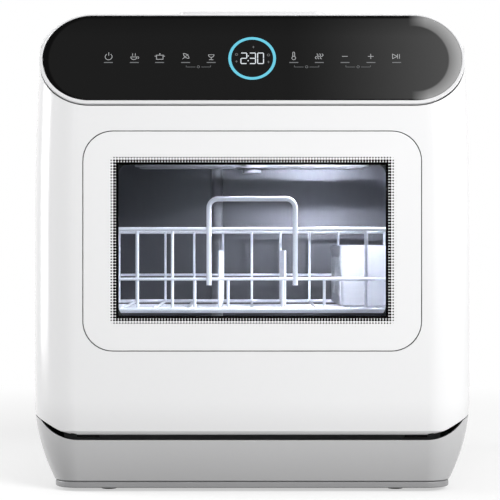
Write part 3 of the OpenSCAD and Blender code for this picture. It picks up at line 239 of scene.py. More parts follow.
def cut(bm, cutter, operation="DIFFERENCE"):
    """Cuts the solid bm with the solid cutter, and gives the result as a bmesh."""
    pair = []
    for solid in (bm, cutter):
        bmesh.ops.recalc_face_normals(solid, faces=solid.faces)
        mesh = bpy.data.meshes.new("blank")
        solid.to_mesh(mesh)
        solid.free()
        blank = bpy.data.objects.new("blank", mesh)
        bpy.context.scene.collection.objects.link(blank)
        pair.append(blank)
    trim = pair[0].modifiers.new("cut", "BOOLEAN")
    trim.operation = operation
    trim.object = pair[1]
    trim.solver = "EXACT"
    done = bmesh.new()
    done.from_object(pair[0], bpy.context.evaluated_depsgraph_get())
    for blank in pair:
        mesh = blank.data
        bpy.data.objects.remove(blank)
        bpy.data.meshes.remove(mesh)
    bmesh.ops.remove_doubles(done, verts=done.verts, dist=0.000005)
    bmesh.ops.dissolve_limit(done, angle_limit=math.radians(0.1), verts=done.verts, edges=done.edges)
    return done


def smooth_by_angle(bm, degrees=32):
    """Shades faces smooth, with a sharp edge wherever two of them meet at more than an angle."""
    for face in bm.faces:
        face.smooth = True
    for edge in bm.edges:
        edge.smooth = len(edge.link_faces) == 2 and edge.calc_face_angle(0) < math.radians(degrees)


def fit_piece(name, bm, body, slot, finish, *stands_for):
    """Puts a mesh on a body of the frame, in its finish, in place of the nodes that it stands for."""
    smooth_by_angle(bm)
    mesh = bpy.data.meshes.new(name)
    bm.to_mesh(mesh)
    bm.free()
    piece = bpy.data.objects.new(name, mesh)
    bpy.context.scene.collection.objects.link(piece)
    mesh.materials.append(finish)
    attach(piece, body)
    if stands_for:
        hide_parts(*stands_for)
    level = piece.modifiers.new("level_faces", "WEIGHTED_NORMAL")
    level.keep_sharp = True
    return piece


def plan_block(inset, low, high):
    """The plan of the whole body, with its rounded upright corners."""
    bm = block((-side + inset, front + inset, low), (side - inset, back - inset, high))
    round_edges(bm, edges_along(bm, 2, lambda m: m.y < 0), front_round - inset, 16)
    round_edges(bm, edges_along(bm, 2, lambda m: m.y > 0.1), rear_round - inset, 10)
    return bm


def body_form(inset, low):
    """The outer form that door, cabinet and panel housing share, inset all round."""
    stretch = crown_wide / crown_high
    crown_top = (top - inset) * stretch
    crown = block((-side + inset, front - past, low - past), (side - inset, back + past, crown_top))
    round_edges(crown, edges_along(crown, 1, lambda m: m.z > 0.3), crown_wide - inset, 18)
    hair_wider = 1.00001
    bmesh.ops.scale(crown, vec=(hair_wider, 1, 1 / stretch), verts=crown.verts)
    bm = cut(plan_block(inset, low, top + 0.05), crown, "INTERSECT")
    for k in range(lean_steps):
        height = lean_from + (lean_to - lean_from) * k / (lean_steps - 1)
        bmesh.ops.bisect_plane(bm, geom=everything(bm), plane_co=(0, 0, height), plane_no=(0, 0, 1))
    for v in bm.verts:
        share = max(0, min(1, (v.co.z - lean_from) / (lean_to - lean_from)))
        v.co.x -= math.copysign(lean * share ** 2 * min(1, abs(v.co.x) / lean_reach), v.co.x)
    trim_off(bm, slope_foot - slope_normal * inset, slope_normal)
    return bm


def panel_region(grow):
    """The control panel's outline seen from the front, a lying pill, with all that is above its middle."""
    half_high, end = panel_mid - slope_low + grow, panel_end + grow
    half_wide = (panel_half + end) * half_high / end
    bm = block((-half_wide, front - 0.05, panel_mid - half_high), (half_wide, -0.1, panel_mid + half_high))
    round_edges(bm, edges_along(bm, 1), half_high * full_round, 28)
    bmesh.ops.scale(bm, vec=(end / half_high, 1, 1), verts=bm.verts)
    above = block((-0.3, front - 0.06, panel_mid - grow), (0.3, -0.09, 0.6))
    return cut(bm, above, "UNION")


def slab(wide, high, radius, low, y_from, y_to, segments=10):
    """An upright plate with rounded corners, seen from the front."""
    bm = block((-wide / 2, y_from, low), (wide / 2, y_to, low + high))
    round_edges(bm, edges_along(bm, 1), radius, segments)
    return bm


def tuck_in(bm, extra=0.0):
    """Draws the lower sides in towards the plinth, more and more steeply."""
    for k in range(1, tuck_steps + 1):
        height = tuck_to + (tuck_from - tuck_to) * k / tuck_steps
        bmesh.ops.bisect_plane(bm, geom=everything(bm), plane_co=(0, 0, height), plane_no=(0, 0, 1))
    for v in bm.verts:
        share = max(0, min(1, (tuck_from - v.co.z) / (tuck_from - tuck_to)))
        centre = v.co.copy()
        centre.x = max(-side + front_round, min(side - front_round, v.co.x))
        centre.y = max(front + front_round, min(back - rear_round, v.co.y))
        v.co -= (v.co - centre).normalized() * (tuck_most * share ** 2 + extra)


def door_outline(inset, y_from, y_to):
    """The door's lower edge seen from the front: level, then slanting up to the sides."""
    half = side + 0.03
    bm = block((-half, y_from, door_low + inset), (half, y_to, 0.5))
    for turn in (-1, 1):
        normal = Vector((turn * math.sin(slant), 0, -math.cos(slant)))
        corner = Vector((turn * (side - slant_in), 0, door_low))
        trim_off(bm, corner - normal * inset, normal)
    corners = edges_along(bm, 1, lambda m: m.z < door_low + inset + 0.0001)
    round_edges(bm, corners, slant_round - inset * math.tan(slant / 2), 10)
    return bm


def door_blank(inset, depth_to):
    """The door's whole form, inset all round, with its lower edge rolled back."""
    start = front + inset - 0.0005
    outline = door_outline(inset, start, start + (depth_to - start) * roll_flat)
    lower = [e for e in outline.edges
             if all(v.co.y < front + inset and v.co.z < 0.2 for v in e.verts)]
    round_edges(outline, lower, door_roll - inset, 8, 0.38)
    for v in outline.verts:
        v.co.y = start + (v.co.y - start) / roll_flat
    form = body_form(inset, 0.04)
    tuck_in(form)
    return cut(form, outline, "INTERSECT")


def glossy_shell(name, colour, roughness=0.16, grain=0.02, mottle=0.01):
    """Moulded plastic: a slight drift of tint and gloss, and the fine peel of its surface."""
    made = bpy.data.materials.new(name)
    made.use_nodes = True
    nodes, links = made.node_tree.nodes, made.node_tree.links
    bsdf = nodes["Principled BSDF"]
    where = nodes.new("ShaderNodeTexCoord")
    drift = nodes.new("ShaderNodeTexNoise")
    drift.inputs["Scale"].default_value = 9
    drift.inputs["Detail"].default_value = 3
    tint = nodes.new("ShaderNodeMix")
    tint.data_type = "RGBA"
    tint.inputs["A"].default_value = (*[max(0, c - mottle) for c in colour], 1)
    tint.inputs["B"].default_value = (*[min(1, c + mottle) for c in colour], 1)
    links.new(where.outputs["Object"], drift.inputs["Vector"])
    links.new(drift.outputs["Fac"], tint.inputs["Factor"])
    links.new(tint.outputs["Result"], bsdf.inputs["Base Color"])
    peel = nodes.new("ShaderNodeTexNoise")
    peel.inputs["Scale"].default_value = 260
    peel.inputs["Detail"].default_value = 2
    links.new(where.outputs["Object"], peel.inputs["Vector"])
    bump = nodes.new("ShaderNodeBump")
    bump.inputs["Strength"].default_value = grain
    bump.inputs["Distance"].default_value = 0.0004
    links.new(peel.outputs["Fac"], bump.inputs["Height"])
    links.new(bump.outputs["Normal"], bsdf.inputs["Normal"])
    rough = nodes.new("ShaderNodeMapRange")
    rough.inputs["To Min"].default_value = max(0.02, roughness - 0.04)
    rough.inputs["To Max"].default_value = roughness + 0.05
    links.new(drift.outputs["Fac"], rough.inputs["Value"])
    links.new(rough.outputs["Result"], bsdf.inputs["Roughness"])
    return made


def glass_opening(grow, y_from, y_to):
    """The outline of the door glass, grown all round."""
    return slab(glass_wide + 2 * grow, glass_high + 2 * grow, glass_round + grow, glass_low - grow,
                y_from, y_to)


skin = cut(door_blank(0, door_back), panel_region(panel_gap))
skin = cut(skin, cut(door_blank(wall, door_back + past), panel_region(panel_gap + wall)))
skin = cut(skin, glass_opening(glass_gap, front - 0.01, front + 0.01))
for turn in (-1, 1):
    slot_x = turn * hinge_side
    skin = cut(skin, block((slot_x - hinge_slot_half, front + hinge_slot_in, 0),
                           (slot_x + hinge_slot_half, 0, hinge_slot_high)))
round_rims(skin, 0.0006)
shell_white = glossy_shell("shell_white", (0.88, 0.88, 0.885))
fit_piece("door_skin", skin, "door", "white_shell", shell_white, "door_outer")

# Bed of the door glass: a frame of dark foam, stuck in the door skin, that the pane is pressed on.
# It laps behind the pane's edge all round and leaves the window open.
bed_lap = 0.006
bed = cut(
    glass_opening(bed_lap, front + wall + 0.0001, front + glass_thick + wall),
    glass_opening(glass_gap, front, front + glass_thick + glass_sunk),
)
bed = cut(bed, slab(window_wide, window_high, window_round, window_low, front, front + past))
round_rims(bed, 0.0004)
bed_foam = glossy_shell("bed_foam", (0.03, 0.03, 0.031), roughness=0.6, grain=0.2, mottle=0.005)
fit_piece("glass_bed", bed, "door", "white_shell", bed_foam)

# Door glass: a flush pane, printed white from behind except over the window.
# The print breaks up into a halftone round the clear middle: dark holes in rows, smaller row by row.


def distance_from(tree, across, upward):
    """How far a point lies from a spot, from its distances across and upward."""
    squares = [math_node(tree, "MULTIPLY", value, value) for value in (across, upward)]
    return math_node(tree, "SQRT", math_node(tree, "ADD", *squares))


def clear_glass(tree, tint, gloss):
    """Thin clear glass: it lets light straight through and mirrors a little of the room."""
    through = tree.nodes.new("ShaderNodeBsdfTransparent")
    through.inputs["Color"].default_value = (*tint, 1)
    mirror = tree.nodes.new("ShaderNodeBsdfGlossy")
    mirror.inputs["Roughness"].default_value = 0.03
    weight = tree.nodes.new("ShaderNodeLayerWeight")
    weight.inputs["Blend"].default_value = gloss
    both = tree.nodes.new("ShaderNodeMixShader")
    tree.links.new(weight.outputs["Fresnel"], both.inputs[0])
    tree.links.new(through.outputs[0], both.inputs[1])
    tree.links.new(mirror.outputs[0], both.inputs[2])
    return both.outputs[0]


printed = glossy_shell("printed_glass", (0.9, 0.9, 0.905), roughness=0.07, grain=0.0, mottle=0.004)
tree = printed.node_tree
where = tree.nodes.new("ShaderNodeTexCoord")
split = tree.nodes.new("ShaderNodeSeparateXYZ")
tree.links.new(where.outputs["Object"], split.inputs[0])
pitch, columns, rows, dark_rows = 0.00273, 46, 26, 3
first_hole, hole_loss, last_holes, ink_share = 0.69, 60, 0.35, 0.85
window_mid = window_low + window_high / 2
height = math_node(tree, "SUBTRACT", split.outputs["Z"], window_mid)
out_x = math_node(tree, "SUBTRACT", math_node(tree, "ABSOLUTE", split.outputs["X"]), columns * pitch)
out_z = math_node(tree, "SUBTRACT", math_node(tree, "ABSOLUTE", height), rows * pitch)
past_x = math_node(tree, "POWER", math_node(tree, "MAXIMUM", out_x, 0), 3)
past_z = math_node(tree, "POWER", math_node(tree, "MAXIMUM", out_z, 0), 3)
reach = math_node(tree, "POWER", math_node(tree, "ADD", past_x, past_z), 1 / 3)
outside = math_node(tree, "GREATER_THAN", reach, 0.00001)
across, upward = (
    math_node(tree, "SUBTRACT", math_node(tree, "FRACT", math_node(tree, "DIVIDE", out, pitch)), 0.5)
    for out in (out_x, out_z)
)
from_hole = distance_from(tree, across, upward)
hole_size = math_node(tree, "SUBTRACT", first_hole, math_node(tree, "MULTIPLY", reach, hole_loss))
in_dark_rows = math_node(tree, "LESS_THAN", reach, dark_rows * pitch)
full_share = math_node(tree, "MULTIPLY", in_dark_rows, 1 - last_holes)
hole_size = math_node(tree, "MULTIPLY", hole_size, math_node(tree, "ADD", full_share, last_holes))
white = math_node(tree, "MULTIPLY", outside, math_node(tree, "GREATER_THAN", from_hole, hole_size))
black_ink = tree.nodes.new("ShaderNodeBsdfDiffuse")
black_ink.inputs["Color"].default_value = (0.004, 0.004, 0.004, 1)
between = tree.nodes.new("ShaderNodeMixShader")
tree.links.new(math_node(tree, "MULTIPLY", outside, ink_share), between.inputs[0])
tree.links.new(clear_glass(tree, (0.96, 0.97, 0.98), 0.04), between.inputs[1])
tree.links.new(black_ink.outputs[0], between.inputs[2])
choose = tree.nodes.new("ShaderNodeMixShader")
tree.links.new(white, choose.inputs[0])
tree.links.new(between.outputs[0], choose.inputs[1])
tree.links.new(tree.nodes["Principled BSDF"].outputs[0], choose.inputs[2])
tree.links.new(choose.outputs[0], tree.nodes["Material Output"].inputs["Surface"])

seam_gap = 0.0004
pane = slab(glass_wide - 2 * seam_gap, glass_high - 2 * seam_gap, glass_round, glass_low + seam_gap,
            front + glass_sunk, front + glass_sunk + glass_thick, 14)
round_rims(pane, 0.0005)
fit_piece("door_pane", pane, "door", "door_glass", printed, "door_glass")

# Inner window: a clear pane, a little larger than the opening in the door's steel pan.
# A moulded gasket of dark rubber lies between the two and shows as a narrow lip.
inner_back, inner_deep, inner_round, lap, lip = door_back - 0.002, 0.006, 0.014, 0.004, 0.002
inner_clear = bpy.data.materials.new("inner_clear")
inner_clear.use_nodes = True
tree = inner_clear.node_tree
film = clear_glass(tree, (0.95, 0.97, 0.98), 0.03)
smear = tree.nodes.new("ShaderNodeTexNoise")
smear.inputs["Scale"].default_value = 14
place = tree.nodes.new("ShaderNodeTexCoord")
tree.links.new(place.outputs["Object"], smear.inputs["Vector"])
haze = math_node(tree, "MULTIPLY", smear.outputs["Fac"], 0.05)
for node in tree.nodes:
    if node.type == "BSDF_GLOSSY":
        tree.links.new(haze, node.inputs["Roughness"])
tree.links.new(film, tree.nodes["Material Output"].inputs["Surface"])
inner_pane = slab(window_wide + 2 * lap, window_high + 2 * lap, inner_round, window_low - lap,
                  inner_back - inner_deep, inner_back - lip)
round_rims(inner_pane, 0.0004)
fit_piece("inner_pane", inner_pane, "door", "window_glass", inner_clear, "window_unit")

rubber_dark = glossy_shell("rubber_dark", (0.035, 0.035, 0.037), roughness=0.55, grain=0.12, mottle=0.006)
gasket = cut(
    slab(window_wide + 2 * lap, window_high + 2 * lap, inner_round, window_low - lap,
         inner_back - lip, inner_back),
    slab(window_wide - 2 * lap, window_high - 2 * lip, window_round, window_low + lip,
         inner_back - past / 2, inner_back + past / 2),
)
round_rims(gasket, 0.0005)
fit_piece("window_gasket", gasket, "door", "seal_rubber", rubber_dark)

# Inner pan of the door, tub, rails, pins and rear screws: steel with a brushed or rolled grain.
# The hinge brackets and arms are coated black. Each is the pressed, stamped or turned part itself,
# with its edges broken and its curves smooth.


def brushed_steel(name, colour, roughness, grain_along=(1, 1, 60), scale=30, relief=0.06):
    """Steel with a fine grain: streaks stretched along one direction."""
    made = bpy.data.materials.new(name)
    made.use_nodes = True
    nodes, links = made.node_tree.nodes, made.node_tree.links
    bsdf = nodes["Principled BSDF"]
    bsdf.inputs["Metallic"].default_value = 1
    where = nodes.new("ShaderNodeTexCoord")
    along = nodes.new("ShaderNodeMapping")
    along.inputs["Scale"].default_value = grain_along
    links.new(where.outputs["Object"], along.inputs["Vector"])
    streaks = nodes.new("ShaderNodeTexNoise")
    streaks.inputs["Scale"].default_value = scale
    streaks.inputs["Detail"].default_value = 5
    links.new(along.outputs[0], streaks.inputs["Vector"])
    tint = nodes.new("ShaderNodeMix")
    tint.data_type = "RGBA"
    tint.inputs["A"].default_value = (*[c * 0.88 for c in colour], 1)
    tint.inputs["B"].default_value = (*[min(1, c * 1.08) for c in colour], 1)
    links.new(streaks.outputs["Fac"], tint.inputs["Factor"])
    links.new(tint.outputs["Result"], bsdf.inputs["Base Color"])
    rough = nodes.new("ShaderNodeMapRange")
    rough.inputs["To Min"].default_value = roughness - 0.06
    rough.inputs["To Max"].default_value = roughness + 0.08
    links.new(streaks.outputs["Fac"], rough.inputs["Value"])
    links.new(rough.outputs["Result"], bsdf.inputs["Roughness"])
    bump = nodes.new("ShaderNodeBump")
    bump.inputs["Strength"].default_value = relief
    bump.inputs["Distance"].default_value = 0.0002
    links.new(streaks.outputs["Fac"], bump.inputs["Height"])
    links.new(bump.outputs["Normal"], bsdf.inputs["Normal"])
    return made


slot_of = {s["node"]: s["material_slot"] for s in frame["record"]["subparts"]}


def finished(finish, *names, edge=0.0004):
    """The frame's own parts: merged, smooth over curves, their edges lightly broken, in one finish."""
    for name in names:
        source = frame["nodes"][name]
        bm = bmesh.new()
        bm.from_mesh(source.data)
        bmesh.ops.remove_doubles(bm, verts=bm.verts, dist=0.000002)
        bmesh.ops.dissolve_limit(bm, angle_limit=math.radians(0.5), verts=bm.verts, edges=bm.edges)
        bmesh.ops.recalc_face_normals(bm, faces=bm.faces)
        piece = fit_piece(name + "_finished", bm, body_of(source)[0], slot_of[name], finish, name)
        if edge:
            broken = piece.modifiers.new("broken_edges", "BEVEL")
            broken.width = edge
            broken.segments = 2
            broken.limit_method = "ANGLE"
            broken.angle_limit = math.radians(40)
            broken.harden_normals = True
            broken.use_clamp_overlap = True


tub_steel = brushed_steel("tub_steel", (0.17, 0.17, 0.182), 0.34, (4, 4, 1), 40, 0.01)
plain_steel = brushed_steel("plain_steel", (0.55, 0.55, 0.56), 0.3, (1, 1, 12), 60)
finished(tub_steel, "inner_tub", "door_inner", edge=0.0006)
black_coat = glossy_shell("black_coat", (0.03, 0.03, 0.031), roughness=0.4, grain=0.1, mottle=0.005)
finished(plain_steel, "rack_rail_left", "rack_rail_right", "hinge_pins", "fill_lid_pin", "back_screws")
finished(black_coat, "hinge_bracket_left", "hinge_bracket_right", "hinge_arm_left", "hinge_arm_right")

# Rack: steel wire dipped in glossy nylon, with its handle, running on four nylon rollers.
# The coat has a faint painted glow, so that the wires look lit in the tub.
# The grey moulded basket for cutlery stands in the rack's right side.
nylon_coat = glossy_shell("nylon_coat", (0.93, 0.93, 0.96), roughness=0.22, grain=0.05)
coat_painted_glow = nylon_coat.node_tree.nodes["Principled BSDF"]
# Painted glow: a faint light of the coat's own, though it is no lamp.
coat_painted_glow.inputs["Emission Color"].default_value = (0.86, 0.86, 1, 1)
coat_painted_glow.inputs["Emission Strength"].default_value = 0.24
finished(nylon_coat, "dish_rack", "rack_handle", edge=0)
finished(glossy_shell("basket_grey", (0.5, 0.51, 0.53), roughness=0.35, grain=0.06), "cutlery_basket")
roller_nylon = glossy_shell("roller_nylon", (0.68, 0.68, 0.69), roughness=0.3)
finished(roller_nylon, "rack_rollers_front", "rack_rollers_rear")

# Lamp in the tub's roof: a lit lens with a bluish white light.
# It is moulded with fine ribs and clipped into the tub.
lens_glow = bpy.data.materials.new("lens_glow")
lens_glow.use_nodes = True
tree = lens_glow.node_tree
bsdf = tree.nodes["Principled BSDF"]
bsdf.inputs["Emission Color"].default_value = (0.88, 0.88, 1, 1)
place = tree.nodes.new("ShaderNodeTexCoord")
prisms = tree.nodes.new("ShaderNodeTexWave")
prisms.inputs["Scale"].default_value = 200
tree.links.new(place.outputs["Object"], prisms.inputs["Vector"])
shine = tree.nodes.new("ShaderNodeMapRange")
shine.inputs["To Min"].default_value = 560
shine.inputs["To Max"].default_value = 640
tree.links.new(prisms.outputs["Fac"], shine.inputs["Value"])
tree.links.new(shine.outputs["Result"], bsdf.inputs["Emission Strength"])
finished(lens_glow, "interior_lamp")

# Seal, gland and hoses: rubber and soft plastic, moulded or extruded, with a dry matt surface.
# The seal is pressed round the opening, and the hoses push on to their fittings.
rubber_grey = glossy_shell("rubber_grey", (0.16, 0.16, 0.165), roughness=0.6, grain=0.12)
finished(rubber_grey, "door_seal", edge=0.0008)
finished(rubber_dark, "power_gland", edge=0.0006)
hose_grey = glossy_shell("hose_grey", (0.42, 0.42, 0.43), roughness=0.5, grain=0.1)
finished(hose_grey, "tank_hose", "drain_hose", edge=0)

# Wash system: spray arms, hubs, sump, pumps and the other mouldings in grey, black and white plastic.
# The filter and the heater are fine drawn steel, and the tank is milky so that its level shows.
inner_grey = glossy_shell("inner_grey", (0.36, 0.36, 0.37), roughness=0.38, grain=0.08)
arm_grey = glossy_shell("arm_grey", (0.46, 0.46, 0.48), roughness=0.34, grain=0.06)
pump_black = glossy_shell("pump_black", (0.05, 0.05, 0.053), roughness=0.4, grain=0.1, mottle=0.006)
wheel_white = glossy_shell("wheel_white", (0.8, 0.8, 0.79), roughness=0.34)
filter_steel = brushed_steel("filter_steel", (0.55, 0.55, 0.56), 0.28, (1, 1, 1), 220)
finished(arm_grey, "lower_spray_arm", "upper_spray_arm", "lower_arm_hub", "upper_arm_hub", "feed_pipe")
finished(filter_steel, "filter_plate", "filter_cup", "water_heater")
finished(inner_grey, "sump", "fill_funnel", "detergent_dispenser", "dispenser_lid", "drain_spigot",
         "float_switch")
finished(pump_black, "circulation_pump", "drain_pump", "drying_fan_housing", "display_module")
finished(wheel_white, "circulation_impeller", "drain_impeller", "drying_fan_wheel", "leak_float",
         "inlet_valve")
finished(glossy_shell("tank_milky", (0.74, 0.78, 0.8), roughness=0.3), "water_tank")
finished(glossy_shell("board_green", (0.03, 0.17, 0.08), roughness=0.4, grain=0.15), "control_board", edge=0)
finished(glossy_shell("frame_grey", (0.2, 0.2, 0.21), roughness=0.42, grain=0.1), "front_frame")

# Cabinet shell: the same glossy white moulding as the door, over top, sides and rear.
# It has the filling port with the ears of its lid on top, and the service opening behind.
cabinet_front, seam = -0.166, 0.079
port_wide, port_deep, port_round, port_lap = 0.128, 0.048, 0.012, 0.006
port_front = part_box("fill_lid")[0].y + port_lap
shell = body_form(0, seam)
trim_off(shell, Vector((0, cabinet_front, 0)), Vector((0, -1, 0)))
shell = cut(shell, body_form(wall, seam - past))
port = block((-port_wide / 2, port_front, top - past / 2),
             (port_wide / 2, port_front + port_deep, top + past / 2))
round_edges(port, edges_along(port, 2), port_round, 8)
shell = cut(shell, port)
service_wide, service_low, service_high, service_round = 0.35, 0.089, 0.4207, 0.008
shell = cut(shell, slab(service_wide, service_high - service_low, service_round, service_low,
                        back - 2 * wall, back + 0.001))
round_rims(shell, 0.001)
ear_x, ear_half, ear_high, ear_round = 0.048, 0.003, 0.0047, 0.0024
pin_y = (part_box("fill_lid_pin")[0].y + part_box("fill_lid_pin")[1].y) / 2
for turn in (-1, 1):
    ear = block((turn * ear_x - ear_half, pin_y - ear_half, top - 0.001),
                (turn * ear_x + ear_half, pin_y + ear_half, top + ear_high))
    round_edges(ear, edges_along(ear, 0, lambda m: m.z > top), ear_round, 6)
    mesh = bpy.data.meshes.new("ear")
    ear.to_mesh(mesh)
    ear.free()
    shell.from_mesh(mesh)
    bpy.data.meshes.remove(mesh)
fit_piece("cabinet_skin", shell, "cabinet", "white_shell", shell_white, "cabinet_shell")

# Service cover and filler lid: a painted steel plate screwed on behind, with vents for the fan.
# The lid is a white moulded flap over the filling port, which turns on a steel pin.
cover_paint = glossy_shell("cover_paint", (0.62, 0.62, 0.63), roughness=0.4, grain=0.15)
# Painted shade: the lid's white is painted darker than the door's, against the strong light from above.
lid_painted_darker = glossy_shell("lid_painted_darker", (0.66, 0.66, 0.67), roughness=0.22)
finished(cover_paint, "back_panel", edge=0.0003)
finished(lid_painted_darker, "fill_lid", edge=0.0008)

# Base: a white moulding, painted down to grey as painted shade, that tucks in towards the plinth, with the
# dark slot for the door above its front.
# Three round bosses behind carry the fittings, and a floor closes it below.
base_low, slot_low, slot_round, slot_past = 0.0104, 0.0504, 0.0467, 0.0017


def tucked(inset, low, high):
    """A slice of the tucked lower body, inset all round."""
    bm = plan_block(0, low, high)
    tuck_in(bm, inset)
    return bm


# Painted shade: the white of the base, its floor and its bosses is painted down to grey.
base_painted_grey = glossy_shell("base_painted_grey", (0.6, 0.6, 0.605), roughness=0.2)
base = cut(tucked(0, base_low, seam), tucked(wall, base_low - 0.001, seam + 0.001))
half = side + slot_past
under_door = block((-half, front - past, slot_low), (half, cabinet_front, 0.2))
round_edges(under_door, edges_along(under_door, 1, lambda m: m.z < 0.1), slot_round, 20)
base = cut(base, under_door)
base = cut(base, door_outline(-0.001, front - past, cabinet_front))
round_rims(base, 0.0008)
fit_piece("base_skin", base, "cabinet", "base_shell", base_painted_grey, "base_tray")
floor_plate = plan_block(tuck_most + 0.001, base_low, base_low + wall)
round_rims(floor_plate, 0.0004)
fit_piece("base_floor", floor_plate, "cabinet", "base_shell", base_painted_grey)


def turned(profile, along, spot, segments=48):
    """A turned part: a profile of (radius, distance) pairs, spun round an axis through a spot."""
    bm = bmesh.new()
    points = [bm.verts.new((radius, 0, distance)) for radius, distance in profile]
    edges = [bm.edges.new(pair) for pair in zip(points, points[1:] + points[:1])]
    bmesh.ops.spin(bm, geom=points + edges, cent=(0, 0, 0), axis=(0, 0, 1), dvec=(0, 0, 0),
                   angle=2 * math.pi, steps=segments, use_merge=True, use_duplicate=False)
    bmesh.ops.remove_doubles(bm, verts=bm.verts, dist=0.000002)
    bmesh.ops.recalc_face_normals(bm, faces=bm.faces)
    turn = Vector((0, 0, 1)).rotation_difference(Vector(along)).to_matrix().to_4x4()
    bmesh.ops.transform(bm, matrix=Matrix.Translation(spot) @ turn, verts=bm.verts)
    return bm


boss_high, boss_round, boss_deep, boss_lip = 0.056, 0.02, 0.014, 0.0012
boss_bores = {"inlet_boss": (0.13, 0.0134), "drain_boss": (0.06, 0.0097), "gland_boss": (-0.13, 0.0092)}
for name, (spot_x, bore) in boss_bores.items():
    profile = [
        (bore, -boss_deep),
        (boss_round, -boss_deep),
        (boss_round, -boss_lip),
        (boss_round - boss_lip, 0),
        (bore + boss_lip / 2, 0),
        (bore, -boss_lip / 2),
    ]
    boss = turned(profile, (0, 1, 0), (spot_x, back - 0.0001, boss_high))
    fit_piece(name, boss, "cabinet", "base_shell", base_painted_grey)

# Plinth and feet: a grey moulded ring set back under the base, with a narrow neck where they meet.
# It stands on four black rubber feet.
plinth_low, plinth_in, plinth_gap = 0.0034, 0.02, 0.0012
neck_in, ring_wall = 0.0015, 0.004
plinth = plan_block(plinth_in, plinth_low, base_low - plinth_gap)
round_rims(plinth, 0.0011, 3)
plinth = cut(plinth, plan_block(plinth_in + neck_in, plinth_low + 0.002, base_low), "UNION")
plinth = cut(plinth, plan_block(plinth_in + ring_wall, 0.002, base_low + 0.001))
plinth_grey = glossy_shell("plinth_grey", (0.29, 0.29, 0.295), roughness=0.4, grain=0.06)
fit_piece("plinth_ring", plinth, "cabinet", "plinth_plastic", plinth_grey, "plinth")
rubber_black = glossy_shell("rubber_black", (0.012, 0.012, 0.012), roughness=0.6, grain=0.1,
                            mottle=0.004)
finished(rubber_black, "rubber_feet", edge=0.0005)

# Panel housing: the white moulded top of the front, behind the control glass and over the tub.
# It meets the cabinet shell in a fine seam, level with the door's rear edge.
housing_low, housing_seam, trim_deep = 0.33, 0.0003, 0.0025
housing = body_form(0, housing_low)
trim_off(housing, Vector((0, cabinet_front - housing_seam, 0)), Vector((0, 1, 0)))
housing = cut(housing, panel_region(0), "INTERSECT")
trim_off(housing, slope_foot - slope_normal * trim_deep, slope_normal)
inner = cut(body_form(wall, housing_low), panel_region(-wall), "INTERSECT")
trim_off(inner, slope_foot - slope_normal * (trim_deep + wall), slope_normal)
housing = cut(housing, inner)
round_rims(housing, 0.0006)
fit_piece("panel_housing", housing, "cabinet", "white_shell", shell_white, "control_housing")

# Panel trim and glass: a white band with a bright bevel round a black pane, let into the slope.
# Its colour is near-black with a painted reflection, greyer towards its right and a light crescent in its
# right end, and painted shade darkens its rims.
slope_place = Matrix.Translation((0, front + (panel_mid - slope_low) * math.tan(slope), panel_mid))
slope_place @= Matrix.Rotation(math.pi / 2 - slope, 4, "X")
trim_wide, trim_high, trim_band = 0.4044, 0.0982, 0.003


def stadium(wide, high, low, rise):
    """A lying plate with round ends, in the plane of the slope."""
    bm = block((-wide / 2, -high / 2, low), (wide / 2, high / 2, rise))
    round_edges(bm, edges_along(bm, 2), high / 2 * full_round, 32)
    return bm


def stadium_loop(bm, wide, high, level, up=0.0):
    """A closed outline with round ends, as a loop of edges."""
    count = 96
    verts = bmesh.ops.create_circle(bm, segments=count, radius=high / 2)["verts"]
    bmesh.ops.rotate(bm, cent=(0, 0, 0), matrix=Matrix.Rotation(math.pi / count, 3, "Z"), verts=verts)
    for v in verts:
        v.co += Vector((math.copysign((wide - high) / 2, v.co.x), up, level))
    return list({e for v in verts for e in v.link_edges})


glass_up, hole_gap = 0.0011, 0.0004
trim = bmesh.new()
hole = trim_wide - 2 * trim_band + hole_gap, trim_high - 2 * trim_band + hole_gap
loops = [
    stadium_loop(trim, trim_wide, trim_high, 0),
    stadium_loop(trim, *hole, 0, glass_up),
    stadium_loop(trim, *hole, -trim_deep, glass_up),
    stadium_loop(trim, trim_wide, trim_high, -trim_deep),
]
for loop, following in zip(loops, loops[1:] + loops[:1]):
    bmesh.ops.bridge_loops(trim, edges=loop + following)
bmesh.ops.recalc_face_normals(trim, faces=trim.faces)
round_rims(trim, 0.0007, 3)
bmesh.ops.transform(trim, matrix=slope_place, verts=trim.verts)
# Painted shade: the trim's white is painted darker than the door's, against the strong light from above.
trim_painted_darker = glossy_shell("trim_painted_darker", (0.7, 0.7, 0.71), roughness=0.1, grain=0.0)
fit_piece("panel_trim", trim, "cabinet", "trim_finish", trim_painted_darker, "control_trim")

glass_black = bpy.data.materials.new("glass_black")
glass_black.use_nodes = True
tree = glass_black.node_tree
bsdf = tree.nodes["Principled BSDF"]
bsdf.inputs["Roughness"].default_value = 0.06
bsdf.inputs["Specular IOR Level"].default_value = 0.06
where = tree.nodes.new("ShaderNodeTexCoord")
split = tree.nodes.new("ShaderNodeSeparateXYZ")
tree.links.new(where.outputs["Object"], split.inputs[0])


def ramp(tree, value, low, high, start, end):
    """A value carried from one range to another, and held at its ends."""
    node = tree.nodes.new("ShaderNodeMapRange")
    for socket, number in zip(("From Min", "From Max", "To Min", "To Max"), (low, high, start, end)):
        node.inputs[socket].default_value = number
    tree.links.new(value, node.inputs["Value"])
    return node.outputs["Result"]
